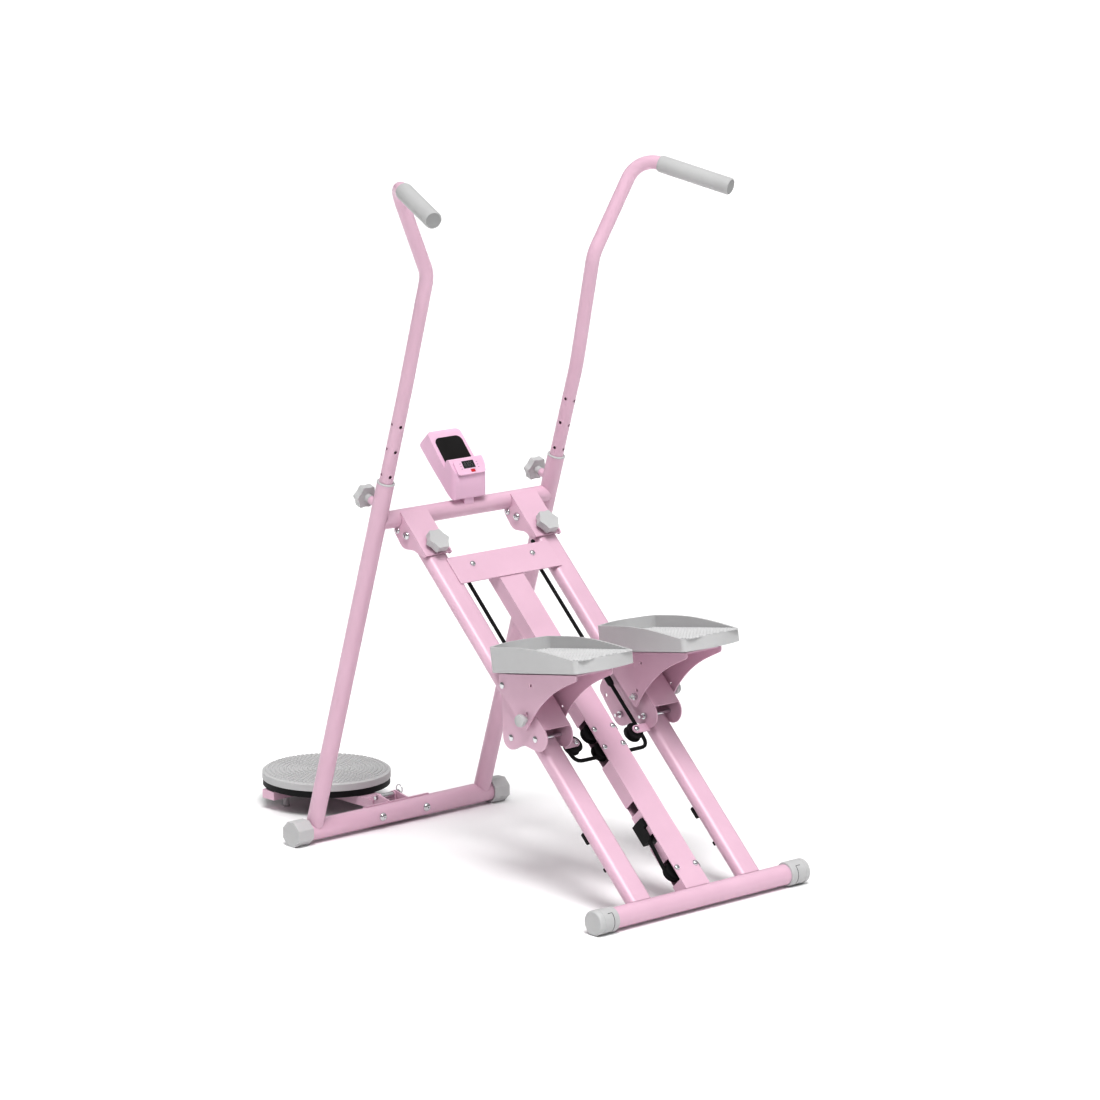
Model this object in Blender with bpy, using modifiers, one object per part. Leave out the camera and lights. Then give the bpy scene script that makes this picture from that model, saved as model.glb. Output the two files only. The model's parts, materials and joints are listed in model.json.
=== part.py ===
"""Folding step climber with a twist disc, modelled as separate pieces in metres, +Z up.

+Y points from the user towards the console, +X to the user's right. The origin is on the floor
under the middle of the machine's bounding box.
"""

from math import acos, atan2, cos, hypot, pi, radians, sin, tan

import bmesh
import bpy
from mathutils import Matrix, Vector

# ---------------------------------------------------------------- driving dimensions
GAP = 0.0003                    # clearance between faces that touch
LEAN = radians(17.3)            # uprights, from vertical towards the user
SLOPE = radians(44.8)           # rails, from horizontal

REAR_CAP_RADIUS = 0.0263
REAR_BAR_RADIUS = 0.022
REAR_BAR_HALF = 0.304
FRONT_BAR_RADIUS = 0.0225
FRONT_BAR_HALF = 0.309
FRONT_CAP_FLATS = 0.055
FRONT_CAP_LENGTH = 0.043
BAR_SPREAD = 0.953              # rear bar axis to front bar axis

UPRIGHT_X = 0.245
UPRIGHT_RADIUS = 0.019
UPRIGHT_BORE = 0.0168
UPRIGHT_LENGTH = 0.842
CROSSBAR_ALONG = 0.751          # up the upright, from the front bar axis
HANDLE_RADIUS = 0.015
HANDLE_BORE = 0.0132
HANDLE_INSERTED = 0.200
HANDLE_HOLE_PITCH = 0.057

DISC_RADIUS = 0.145
DISC_TOP = 0.079
DISC_ALONG = 1.200              # disc axis, from the rear bar axis
DISC_PIN_ALONG = 0.994
DISC_PIN_Z = 0.054

RAIL_X = 0.158
RAIL_WIDTH = 0.060
RAIL_DEPTH = 0.030
RAIL_N = -0.002                 # rail mid-plane, above the rear bar axis
RAIL_WALL = 0.0025
PIVOT_S = 0.976                 # fold pivot, up the rail from the rear bar axis
RAIL_OVERHANG = 0.006           # short enough to swing clear of the bracket's web

BEAM_HALF = 0.034
BEAM_TOP = 0.013
BEAM_BOTTOM = -0.020
BEAM_WALL = 0.0025
BEAM_END = 0.876

ROPE_RADIUS = 0.004
ROPE_N = -0.005                 # plane of the ropes and pulleys
PULLEY_RADIUS = 0.020
PULLEY_THICK = 0.016
PULLEY_GROOVE = 0.0137
ROPE_TURN = PULLEY_GROOVE + ROPE_RADIUS + GAP
TOP_PULLEY = (0.086, 0.870)
CARRIAGE_PULLEY = (0.088, 0.406)
ROLLER_X = 0.0265
UPPER_ROLLER_S = 0.4235
LOWER_ROLLER_S = 0.378
BOTTOM_PULLEY_S = 0.070

PLATE = 0.003                   # sheet metal
CARRIAGE_OUTER = 0.195
CARRIAGE_INNER = 0.121
SUPPORT_OUTER = 0.209
SUPPORT_INNER = 0.106
TILT_PIVOT = (0.561, 0.030)
LOCK_PIN = (0.467, 0.038)
GUIDE_ROD = (0.427, 0.0183)
UNDER_ROLLER = (0.473, -0.0405)

BAR_Y = -(DISC_ALONG + DISC_RADIUS - REAR_CAP_RADIUS) / 2.0
REAR_BAR_Z = REAR_CAP_RADIUS
FRONT_BAR_Z = FRONT_CAP_FLATS / 2.0
FRONT_BAR_Y = BAR_Y + BAR_SPREAD

X_AXIS = Vector((1.0, 0.0, 0.0))
UP_RAIL = Vector((0.0, cos(SLOPE), sin(SLOPE)))
OFF_RAIL = Vector((0.0, -sin(SLOPE), cos(SLOPE)))
UP_POST = Vector((0.0, -sin(LEAN), cos(LEAN)))
OFF_POST = Vector((0.0, cos(LEAN), sin(LEAN)))
REAR_BAR = Vector((0.0, BAR_Y, REAR_BAR_Z))
FRONT_BAR = Vector((0.0, FRONT_BAR_Y, FRONT_BAR_Z))
SIDES = (("left", -1.0), ("right", 1.0))

PINK = (0.80, 0.56, 0.68)
LILAC = (0.86, 0.62, 0.76)
GREY = (0.52, 0.52, 0.52)
BLACK = (0.012, 0.012, 0.013)


# ---------------------------------------------------------------- places
def on_rail(x, s, n):
    """World place of a point s up the rails, n off their plane."""
    return REAR_BAR + X_AXIS * x + UP_RAIL * s + OFF_RAIL * n


def on_post(x, along, off=0.0):
    """World place of a point up an upright, off its axis towards the front."""
    return FRONT_BAR + X_AXIS * x + UP_POST * along + OFF_POST * off


def from_rear(x, y, z):
    """World place of a point measured level from the rear bar axis, with z from the floor."""
    return Vector((x, BAR_Y + y, z))


def basis(x_dir, y_dir, z_dir, place):
    """Matrix whose columns are the three directions and the place."""
    rows = Matrix((x_dir, y_dir, z_dir)).transposed().to_4x4()
    return Matrix.Translation(place) @ rows


def rail_side(x):
    """Local x up the rail, local y off it, local z along +X."""
    return basis(UP_RAIL, OFF_RAIL, X_AXIS, on_rail(x, 0.0, 0.0))


def rail_top(n):
    """Local x along +X, local y up the rail, local z off it."""
    return basis(X_AXIS, UP_RAIL, OFF_RAIL, on_rail(0.0, 0.0, n))


def rail_section(s):
    """Local x along +X, local y off the rail, local z down it."""
    return basis(X_AXIS, OFF_RAIL, -UP_RAIL, on_rail(0.0, s, 0.0))


def upright_plane(x):
    """Local x along world Y from the rear bar, local y along world Z, local z along +X."""
    return basis(Vector((0, 1, 0)), Vector((0, 0, 1)), X_AXIS, Vector((x, BAR_Y, 0.0)))


def turn_to(direction, place):
    """Matrix that stands local +Z along a direction at a place."""
    return Matrix.Translation(place) @ direction.to_track_quat("Z", "Y").to_matrix().to_4x4()


# ---------------------------------------------------------------- scene helpers
def clear_scene():
    for obj in list(bpy.data.objects):
        bpy.data.objects.remove(obj, do_unlink=True)


def new_collection(name):
    collection = bpy.data.collections.new(name)
    bpy.context.scene.collection.children.link(collection)
    return collection


clear_scene()
PIECES = new_collection("step_climber")
CUTTERS = new_collection("cutters")


def material(name, color, roughness, metallic=0.0):
    mat = bpy.data.materials.new(name)
    mat.use_nodes = True
    shader = mat.node_tree.nodes["Principled BSDF"]
    shader.inputs["Base Color"].default_value = (*color, 1.0)
    shader.inputs["Roughness"].default_value = roughness
    shader.inputs["Metallic"].default_value = metallic
    return mat


PAINT = material("pink_paint", PINK, 0.35)
CASE = material("lilac_plastic", LILAC, 0.4)
PLASTIC = material("grey_plastic", GREY, 0.5)
RUBBER = material("black_rubber", BLACK, 0.7)
ROPE = material("black_rope", BLACK, 0.85)
ZINC = material("bright_zinc", (0.75, 0.75, 0.76), 0.25, 1.0)
RED = material("red_button", (0.55, 0.02, 0.03), 0.4)


def put(name, mesh, mat, matrix=None):
    """New object in the model's collection."""
    obj = bpy.data.objects.new(name, mesh)
    obj.matrix_world = matrix or Matrix.Identity(4)
    mesh.materials.clear()
    mesh.materials.append(mat)
    PIECES.objects.link(obj)
    bpy.context.view_layer.update()
    return obj


def smooth(obj, angle=radians(35)):
    obj.data.shade_smooth()
    obj.data.set_sharp_from_angle(angle=angle)
    return obj


def mesh_from(bm, name):
    mesh = bpy.data.meshes.new(name)
    bmesh.ops.recalc_face_normals(bm, faces=bm.faces)
    bm.to_mesh(mesh)
    bm.free()
    return mesh


def curve_to_mesh(curve_obj):
    """Welded mesh of a curve object, which is then removed."""
    graph = bpy.context.evaluated_depsgraph_get()
    mesh = bpy.data.meshes.new_from_object(curve_obj.evaluated_get(graph))
    bm = bmesh.new()
    bm.from_mesh(mesh)
    bmesh.ops.remove_doubles(bm, verts=bm.verts, dist=1e-6)
    bmesh.ops.recalc_face_normals(bm, faces=bm.faces)
    bm.to_mesh(mesh)
    bm.free()
    bpy.data.objects.remove(curve_obj, do_unlink=True)
    return mesh


def flat_plate(name, outlines, thickness, mat, matrix):
    """Flat sheet: the first outline is its edge, and the others are holes."""
    curve = bpy.data.curves.new(name, "CURVE")
    curve.dimensions = "2D"
    curve.fill_mode = "BOTH"
    curve.extrude = thickness / 2.0
    for outline in outlines:
        spline = curve.splines.new("POLY")
        spline.points.add(len(outline) - 1)
        for point, (px, py) in zip(spline.points, outline):
            point.co = (px, py, 0.0, 1.0)
        spline.use_cyclic_u = True
    guide = bpy.data.objects.new(name + "_curve", curve)
    PIECES.objects.link(guide)
    bpy.context.view_layer.update()
    return put(name, curve_to_mesh(guide), mat, matrix)


def box(name, size, mat, matrix):
    bm = bmesh.new()
    bmesh.ops.create_cube(bm, size=1.0)
    bmesh.ops.scale(bm, vec=size, verts=bm.verts)
    return put(name, mesh_from(bm, name), mat, matrix)


def rod(name, start, end, radius, mat, segments=16):
    """Plain round bar between two places."""
    bm = bmesh.new()
    length = (end - start).length
    bmesh.ops.create_cone(
        bm, cap_ends=True, segments=segments, radius1=radius, radius2=radius, depth=length
    )
    obj = put(name, mesh_from(bm, name), mat, turn_to(end - start, (start + end) / 2.0))
    return smooth(obj)


def turned(name, profile, mat, matrix, steps=24, closed=False):
    """Profile of (radius, height) points turned about local Z, outer side top to bottom."""
    mesh = bpy.data.meshes.new(name)
    verts = [(r, 0.0, z) for r, z in profile]
    edges = [(i, i + 1) for i in range(len(verts) - 1)]
    if closed:
        edges.append((len(verts) - 1, 0))
    mesh.from_pydata(verts, edges, [])
    obj = put(name, mesh, mat, matrix)
    screw = obj.modifiers.new("turn", "SCREW")
    screw.axis = "Z"
    screw.steps = steps
    screw.render_steps = steps
    screw.use_merge_vertices = True
    screw.merge_threshold = 1e-5
    return obj


def pipe(name, start, end, outer, inner, mat, steps=24):
    """Open-ended tube between two places."""
    length = (end - start).length
    profile = [(inner, length), (outer, length), (outer, 0.0), (inner, 0.0)]
    return turned(name, profile, mat, turn_to(end - start, start), steps, closed=True)


def bent_tube(name, points, radius, mat, sides=3):
    """Round bar swept along a list of places, with filled ends."""
    curve = bpy.data.curves.new(name, "CURVE")
    curve.dimensions = "3D"
    curve.bevel_depth = radius
    curve.bevel_resolution = sides
    curve.use_fill_caps = True
    spline = curve.splines.new("POLY")
    spline.points.add(len(points) - 1)
    for point, place in zip(spline.points, points):
        point.co = (*place, 1.0)
    guide = bpy.data.objects.new(name + "_curve", curve)
    PIECES.objects.link(guide)
    bpy.context.view_layer.update()
    return put(name, curve_to_mesh(guide), mat)


def as_cutter(obj):
    obj.hide_render = True
    obj.display_type = "WIRE"
    PIECES.objects.unlink(obj)
    CUTTERS.objects.link(obj)
    return obj


def combine(base, others, operation):
    for other in others:
        modifier = base.modifiers.new(operation.lower(), "BOOLEAN")
        modifier.operation = operation
        modifier.solver = "EXACT"
        modifier.object = as_cutter(other)
    return base


def cut(base, *cutters):
    return combine(base, cutters, "DIFFERENCE")


def join(base, *others):
    return combine(base, others, "UNION")


def rounded(obj, width, segments=2):
    bevel = obj.modifiers.new("round", "BEVEL")
    bevel.width = width
    bevel.segments = segments
    bevel.limit_method = "ANGLE"
    bevel.angle_limit = radians(40)
    return obj


def on_joint(name, place, *objects):
    """Parent pieces to an empty on their joint's axis."""
    empty = bpy.data.objects.new(name, None)
    empty.location = place
    PIECES.objects.link(empty)
    bpy.context.view_layer.update()
    for obj in objects:
        matrix = obj.matrix_world.copy()
        obj.parent = empty
        obj.matrix_parent_inverse = empty.matrix_world.inverted()
        obj.matrix_world = matrix
    bpy.context.view_layer.update()
    return empty


# ---------------------------------------------------------------- outlines
def arc(cx, cy, radius, start, end, count):
    """Points along an arc, with both ends, angles in radians."""
    step = (end - start) / (count - 1)
    return [(cx + radius * cos(start + step * i), cy + radius * sin(start + step * i))
            for i in range(count)]


def circle(cx, cy, radius, count=8):
    """Hole outline that clears a round bar of the given radius."""
    radius = radius / cos(pi / count)
    return arc(cx, cy, radius, 0.0, 2.0 * pi * (count - 1) / count, count)


def ring_of(stops, step=radians(24)):
    """Outline that runs anticlockwise round stops (x, y, radius) joined by tangent lines.

    A positive radius is a rounded corner, a negative one a hollow, and zero a sharp corner.
    """
    def facing(a, b):
        dx = b[0] - a[0]
        dy = b[1] - a[1]
        return atan2(dy, dx) - acos((a[2] - b[2]) / hypot(dx, dy))

    points = []
    for i, stop in enumerate(stops):
        before = facing(stops[i - 1], stop)
        after = facing(stop, stops[(i + 1) % len(stops)])
        x, y, radius = stop
        if radius == 0.0:
            points.append((x, y))
            continue
        turn = (after - before) % (2.0 * pi)
        if radius < 0.0:
            turn -= 2.0 * pi
        count = max(2, int(abs(turn) / step) + 2)
        points += arc(x, y, radius, before, before + turn, count)
    return points


def oval(width, depth, inset=0.0, count=9):
    """Flat-sided oval, long across x."""
    radius = depth / 2.0 - inset
    reach = width / 2.0 - depth / 2.0
    right = arc(reach, 0.0, radius, -pi / 2.0, pi / 2.0, count)
    left = arc(-reach, 0.0, radius, pi / 2.0, 1.5 * pi, count)
    return right + left


def shifted(outline, dx, dy):
    return [(x + dx, y + dy) for x, y in outline]


def star(radius, lobes=6, count=6):
    """Lobed knob outline."""
    points = []
    total = lobes * count
    for i in range(total):
        angle = 2.0 * pi * i / total
        reach = radius * (0.85 + 0.15 * cos(lobes * angle))
        points.append((reach * cos(angle), reach * sin(angle)))
    return points


def smooth_bend(corner, before, after, radius, count=7):
    """Points of a rounded corner between two straight runs."""
    d_in = (corner - before).normalized()
    d_out = (after - corner).normalized()
    half = d_in.angle(d_out) / 2.0
    reach = radius * tan(half)
    start = corner - d_in * reach
    inward = (d_out - d_in).normalized()
    centre = corner + inward * (radius / cos(half))
    axis = d_in.cross(d_out).normalized()
    spoke = start - centre
    return [centre + Matrix.Rotation(2.0 * half * i / (count - 1), 3, axis) @ spoke
            for i in range(count)]


# ---------------------------------------------------------------- fixed frame
def make_uprights():
    for side, sign in SIDES:
        foot = on_post(sign * UPRIGHT_X, 0.0)
        top = on_post(sign * UPRIGHT_X, UPRIGHT_LENGTH)
        post = pipe("upright_" + side, foot, top, UPRIGHT_RADIUS, UPRIGHT_BORE, PAINT)
        notch = rod("notch_foot_" + side, foot - X_AXIS * 0.05, foot + X_AXIS * 0.05,
                    FRONT_BAR_RADIUS + 2 * GAP, PAINT, 24)
        boss_at = on_post(sign * UPRIGHT_X, KNOB_ALONG)
        screw_hole = rod("screw_hole_" + side, boss_at, boss_at + OFF_POST * 0.03, 0.0045, PAINT)
        boss = turned("screw_boss_" + side,
                      [(0.0045, 0.034), (0.0085, 0.034), (0.0095, 0.016), (0.0045, 0.016)],
                      PAINT, turn_to(OFF_POST, boss_at), 12, closed=True)
        bushing = turned("collar_" + side,
                         [(HANDLE_RADIUS + 0.0005, 0.0035), (0.0182, 0.0035), (0.0197, 0.002),
                          (0.0197, GAP), (HANDLE_RADIUS + 0.0005, GAP)],
                         PLASTIC, turn_to(UP_POST, top), 20, closed=True)
        smooth(bushing)
        cut(post, notch)
        join(post, boss)
        cut(post, screw_hole)
        smooth(post)


def make_front_bar():
    ends = Vector((FRONT_BAR_HALF - 0.004, 0.0, 0.0))
    smooth(pipe("front_bar", FRONT_BAR - ends, FRONT_BAR + ends,
                FRONT_BAR_RADIUS, FRONT_BAR_RADIUS - 0.002, PAINT, 24))
    for side, sign in SIDES:
        outer = FRONT_CAP_FLATS / 2.0 / cos(pi / 8.0)
        eighth = [(outer * cos(pi / 8.0 + i * pi / 4.0), outer * sin(pi / 8.0 + i * pi / 4.0))
                  for i in range(8)]
        middle = FRONT_BAR_HALF - FRONT_CAP_LENGTH / 2.0
        place = FRONT_BAR + X_AXIS * sign * middle
        frame = basis(Vector((0, sign, 0)), Vector((0, 0, 1)), X_AXIS * sign, place)
        cap = flat_plate("front_cap_" + side, [eighth], FRONT_CAP_LENGTH, PLASTIC, frame)
        bore_end = FRONT_BAR + X_AXIS * sign * (FRONT_BAR_HALF - 0.004 + GAP)
        bore_start = FRONT_BAR + X_AXIS * sign * (middle - FRONT_CAP_LENGTH)
        cut(cap, rod("bore_cap_" + side, bore_start, bore_end,
                     FRONT_BAR_RADIUS + 2 * GAP, PLASTIC, 24))


def make_crossbar():
    ends = Vector((UPRIGHT_X, 0.0, 0.0))
    middle = on_post(0.0, CROSSBAR_ALONG)
    bar = pipe("crossbar", middle - ends, middle + ends, UPRIGHT_RADIUS, 0.017, PAINT)
    for side, sign in SIDES:
        low = on_post(sign * UPRIGHT_X, CROSSBAR_ALONG - 0.05)
        high = on_post(sign * UPRIGHT_X, CROSSBAR_ALONG + 0.05)
        cut(bar, rod("cope_" + side, low, high, UPRIGHT_RADIUS + 2 * GAP, PAINT, 24))
    smooth(bar)


def crossbar_on_rail():
    """The crossbar's centre as distances up and off the rails."""
    offset = on_post(0.0, CROSSBAR_ALONG) - REAR_BAR
    return offset.dot(UP_RAIL), offset.dot(OFF_RAIL)


def bracket_outline(bar_s, bar_n, roof):
    return ring_of([
        (bar_s, bar_n, 0.0),
        (bar_s, roof, 0.0),
        (0.9075, roof, 0.0),
        (0.9100, 0.010, 0.002),
        (0.9300, -0.0195, -0.016),
        (PIVOT_S - 0.002, -0.005, 0.026),
        (bar_s - 0.020, bar_n - 0.016, 0.0075),
    ])


def make_brackets():
    bar_s, bar_n = crossbar_on_rail()
    roof = bar_n + UPRIGHT_RADIUS + GAP + PLATE
    outline = bracket_outline(bar_s, bar_n, roof)
    holes = [circle(PIVOT_S, RAIL_N, 0.0042), circle(*CLAMP_BOLT, 0.0032)]
    bar_centre = on_post(0.0, CROSSBAR_ALONG)
    for side, sign in SIDES:
        low = min(sign * CARRIAGE_INNER, sign * CARRIAGE_OUTER)
        high = max(sign * CARRIAGE_INNER, sign * CARRIAGE_OUTER)
        bracket = flat_plate("bracket_" + side, [outline] + holes, PLATE, PAINT,
                             rail_side(low + PLATE / 2.0))
        other = flat_plate("bracket_wall_" + side, [outline] + holes, PLATE, PAINT,
                           rail_side(high - PLATE / 2.0))
        middle = (low + high) / 2.0
        web_length = bar_s - 0.9075
        web = box("bracket_web_" + side, (high - low, web_length, PLATE), PAINT,
                  rail_top(roof - PLATE / 2.0)
                  @ Matrix.Translation((middle, bar_s - web_length / 2.0, 0.0)))
        screw_at = on_rail(sign * RAIL_X, BRACKET_KNOB_S, roof)
        hole = rod("web_hole_" + side, screw_at - OFF_RAIL * 0.01, screw_at + OFF_RAIL * 0.01,
                   0.0045, PAINT)
        cope = rod("bracket_cope_" + side, bar_centre + X_AXIS * (low - 0.01),
                   bar_centre + X_AXIS * (high + 0.01), UPRIGHT_RADIUS + 2 * GAP, PAINT, 24)
        join(bracket, other, web)
        cut(bracket, hole, cope)
        star_knob("bracket_knob_" + side, on_rail(sign * RAIL_X, BRACKET_KNOB_S, roof),
                  OFF_RAIL, 0.008, roof - (RAIL_N + RAIL_DEPTH / 2.0) - GAP)


def bolt(name, start, end, radius, head):
    """Bolt with a low domed head at each end, standing just clear of the faces it clamps."""
    length = (end - start).length
    dome = 0.62 * head
    profile = [(0.0, length + dome), (head, length + 0.35 * dome), (head, length + GAP),
               (radius, length + GAP), (radius, -GAP), (head, -GAP),
               (head, -0.35 * dome), (0.0, -dome)]
    return smooth(turned(name, profile, ZINC, turn_to(end - start, start), 12))


def star_knob(name, base, direction, stand_off, reach):
    """Six-lobed hand knob whose screw reaches down through its base by the given length."""
    frame = turn_to(direction, base)
    thick = 0.016
    centre = stand_off + thick / 2.0
    knob = flat_plate(name, [star(0.0255)], thick, PLASTIC,
                      frame @ Matrix.Translation((0, 0, centre)))
    stem = turned(name + "_stem", [(0.0, stand_off + 0.002), (0.009, stand_off + 0.002),
                                   (0.009, GAP), (0.004, GAP), (0.004, -reach), (0.0, -reach)],
                  PLASTIC, frame, 10)
    join(knob, stem)
    smooth(knob)
    return knob


def make_lock_knobs():
    for side, sign in SIDES:
        boss_end = on_post(sign * UPRIGHT_X, KNOB_ALONG, 0.034)
        knob = star_knob("handle_knob_" + side, boss_end, OFF_POST, 0.012,
                         0.034 - HANDLE_RADIUS - GAP)
        on_joint("handle_knob_axis_" + side, boss_end, knob)


# ---------------------------------------------------------------- handles
def handle_route(sign):
    """Places along the bent handle tube, from its lower end to its grip end."""
    low = on_post(sign * UPRIGHT_X, UPRIGHT_LENGTH - HANDLE_INSERTED)
    elbow = from_rear(sign * HANDLE_ELBOW[0], HANDLE_ELBOW[1], HANDLE_ELBOW[2])
    crown = from_rear(sign * HANDLE_CROWN[0], HANDLE_CROWN[1], HANDLE_CROWN[2])
    end = from_rear(sign * GRIP_END[0], GRIP_END[1], GRIP_END[2])
    kink = on_post(sign * UPRIGHT_X, HANDLE_KINK)
    points = [low]
    points += smooth_bend(kink, low, elbow, 0.8, 4)
    points += smooth_bend(elbow, kink, crown, 0.07, 5)
    points += smooth_bend(crown, elbow, end, 0.055, 9)
    points.append(end - (end - crown).normalized() * 0.004)
    return points, crown, end


def make_handles():
    for side, sign in SIDES:
        points, crown, end = handle_route(sign)
        tube = bent_tube("handle_" + side, points, HANDLE_RADIUS, PAINT, 5)
        below = points[0] - UP_POST * 0.02
        short_of_end = points[-1] - (end - crown).normalized() * 0.004
        bore = bent_tube("handle_bore_" + side, [below] + points[1:-1] + [short_of_end],
                         HANDLE_BORE, PAINT, 3)
        cut(tube, bore)
        smooth(tube)
        along = (end - crown).normalized()
        start = end - along * GRIP_LENGTH
        inner = HANDLE_RADIUS + GAP
        profile = [(0.0, GRIP_LENGTH), (0.0155, GRIP_LENGTH), (0.0185, GRIP_LENGTH - 0.003),
                   (0.0180, 0.004), (0.0170, 0.0), (inner, 0.0),
                   (inner, GRIP_LENGTH - 0.004 + GAP), (0.0, GRIP_LENGTH - 0.004 + GAP)]
        grip = smooth(turned("grip_" + side, profile, PLASTIC, turn_to(along, start), 20))
        on_joint("handle_slide_" + side, on_post(sign * UPRIGHT_X, UPRIGHT_LENGTH), tube, grip)


# ---------------------------------------------------------------- console
def console_profile():
    """Side view: a wedge with a raised panel at the front and a phone rest behind it."""
    return ring_of([
        (0.7120, 0.7715, 0.004),
        (0.7240, 0.7800, 0.004),
        (0.8150, 0.8790, 0.009),
        (0.8010, 0.8945, 0.009),
        (0.7388, 0.8385, -0.0025),
        (0.7290, 0.8470, 0.006),
        (0.7075, 0.8175, 0.005),
    ], radians(30))


def make_console():
    wide = 0.096
    case = flat_plate("console_case", [console_profile()], wide, CASE, upright_plane(0.0))
    front = ring_of([(-0.044, -0.02, 0.004), (0.044, -0.02, 0.004),
                     (0.039, 0.100, 0.009), (0.022, 0.138, 0.020),
                     (-0.022, 0.138, 0.020), (-0.039, 0.100, 0.009)], radians(15))
    back_dir = Vector((0.0, 0.697, 0.717))
    face_dir = Vector((0.0, -0.717, 0.697))
    frame = basis(X_AXIS, back_dir, face_dir, from_rear(0.0, 0.714, 0.770))
    trim = flat_plate("console_trim", [front], 0.16, CASE, frame)
    case.modifiers.new("outline", "BOOLEAN")
    case.modifiers["outline"].operation = "INTERSECT"
    case.modifiers["outline"].object = as_cutter(trim)
    stalk = box("console_stalk", (0.027, 0.016, 0.030), CASE,
                Matrix.Translation(from_rear(0.0, 0.721, 0.767)))
    middle = on_post(0.0, CROSSBAR_ALONG)
    saddle = rod("console_saddle", middle - X_AXIS * 0.06, middle + X_AXIS * 0.06,
                 UPRIGHT_RADIUS + 2 * GAP, CASE, 24)
    join(case, stalk)
    cut(case, saddle)
    pocket = button_frame(0.0)
    cut(case, box("button_pocket", (0.0124, 0.0074, 0.008), CASE, pocket))
    smooth(case)
    button = box("console_button", (0.0112, 0.0062, 0.005), RED, button_frame(-0.0002))
    rounded(button, 0.0008, 1)
    on_joint("button_press", button_frame(0.0).translation, button)


def button_frame(depth):
    """Frame on the console's panel: local z out of the panel."""
    low = Vector((0.0, 0.7025, 0.8205))
    high = Vector((0.0, 0.7242, 0.8505))
    up = (high - low).normalized()
    out = X_AXIS.cross(up).normalized()
    place = from_rear(0.005, 0.7070, 0.8267) + out * depth
    return basis(X_AXIS, up, out, place)


# ---------------------------------------------------------------- sloping ladder
def make_rear_bar():
    ends = Vector((REAR_BAR_HALF - 0.004, 0.0, 0.0))
    smooth(pipe("rear_bar", REAR_BAR - ends, REAR_BAR + ends,
                REAR_BAR_RADIUS, REAR_BAR_RADIUS - 0.002, PAINT, 24))
    for side, sign in SIDES:
        r = REAR_CAP_RADIUS
        inner = REAR_BAR_RADIUS + GAP
        long = 0.054
        profile = [(0.0, long), (r - 0.003, long), (r, long - 0.003),
                   (r, 0.002), (r - 0.002, 0.0), (inner, 0.0),
                   (inner, long - 0.004 + GAP), (0.0, long - 0.004 + GAP)]
        start = REAR_BAR + X_AXIS * sign * (REAR_BAR_HALF - long)
        smooth(turned("rear_cap_" + side, profile, PLASTIC, turn_to(X_AXIS * sign, start), 32))


def make_rails():
    for side, sign in SIDES:
        end = PIVOT_S + RAIL_OVERHANG
        centre = basis(X_AXIS, OFF_RAIL, -UP_RAIL, on_rail(sign * RAIL_X, end / 2.0, RAIL_N))
        rail = flat_plate("rail_" + side,
                          [oval(RAIL_WIDTH, RAIL_DEPTH),
                           oval(RAIL_WIDTH, RAIL_DEPTH, RAIL_WALL)], end, PAINT, centre)
        bar = rod("rail_cope_" + side, REAR_BAR + X_AXIS * (sign * RAIL_X - 0.05),
                  REAR_BAR + X_AXIS * (sign * RAIL_X + 0.05), REAR_BAR_RADIUS + 2 * GAP, PAINT, 24)
        across = rod("rail_pin_hole_" + side, on_rail(sign * RAIL_X - 0.05, PIVOT_S, RAIL_N),
                     on_rail(sign * RAIL_X + 0.05, PIVOT_S, RAIL_N), 0.0042, PAINT)
        cut(rail, bar, across)
        smooth(rail)


def make_beam():
    """Upside-down channel with windows in both side walls and notches in the left one."""
    w = BEAM_HALF
    t = BEAM_WALL
    section = [(-w, BEAM_BOTTOM), (-w + t, BEAM_BOTTOM), (-w + t, BEAM_TOP - t),
               (w - t, BEAM_TOP - t), (w - t, BEAM_BOTTOM), (w, BEAM_BOTTOM),
               (w, BEAM_TOP), (-w, BEAM_TOP)]
    middle = basis(X_AXIS, OFF_RAIL, -UP_RAIL, on_rail(0.0, BEAM_END / 2.0, 0.0))
    beam = flat_plate("centre_beam", [section], BEAM_END, PAINT, middle)
    bar = rod("beam_cope", REAR_BAR - X_AXIS * 0.05, REAR_BAR + X_AXIS * 0.05,
              REAR_BAR_RADIUS + 2 * GAP, PAINT, 24)
    cutters = [bar]
    for low, high in BEAM_WINDOWS:
        cutters.append(box("beam_window", (0.09, high - low, 0.036), PAINT,
                           rail_top(-0.008) @ Matrix.Translation((0, (low + high) / 2.0, 0))))
    for low, high in BLOCK_NOTCHES:
        cutters.append(box("beam_notch", (0.04, high - low, 0.036), PAINT,
                           rail_top(-0.008)
                           @ Matrix.Translation((-BEAM_HALF, (low + high) / 2.0, 0))))
    cutters.append(box("rope_slot", (0.02, 0.016, 0.010), PAINT,
                       rail_top(ROPE_N) @ Matrix.Translation((BEAM_HALF, BLOCK_SPAN[0] - 0.005, 0))))
    for sign in (-1.0, 1.0):
        for s in (UPPER_ROLLER_S, LOWER_ROLLER_S, BOTTOM_PULLEY_S):
            cutters.append(rod("axle_hole", on_rail(sign * ROLLER_X, s, BEAM_TOP - 0.006),
                               on_rail(sign * ROLLER_X, s, BEAM_TOP + 0.006), 0.0032, PAINT))
    cut(beam, *cutters)


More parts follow.
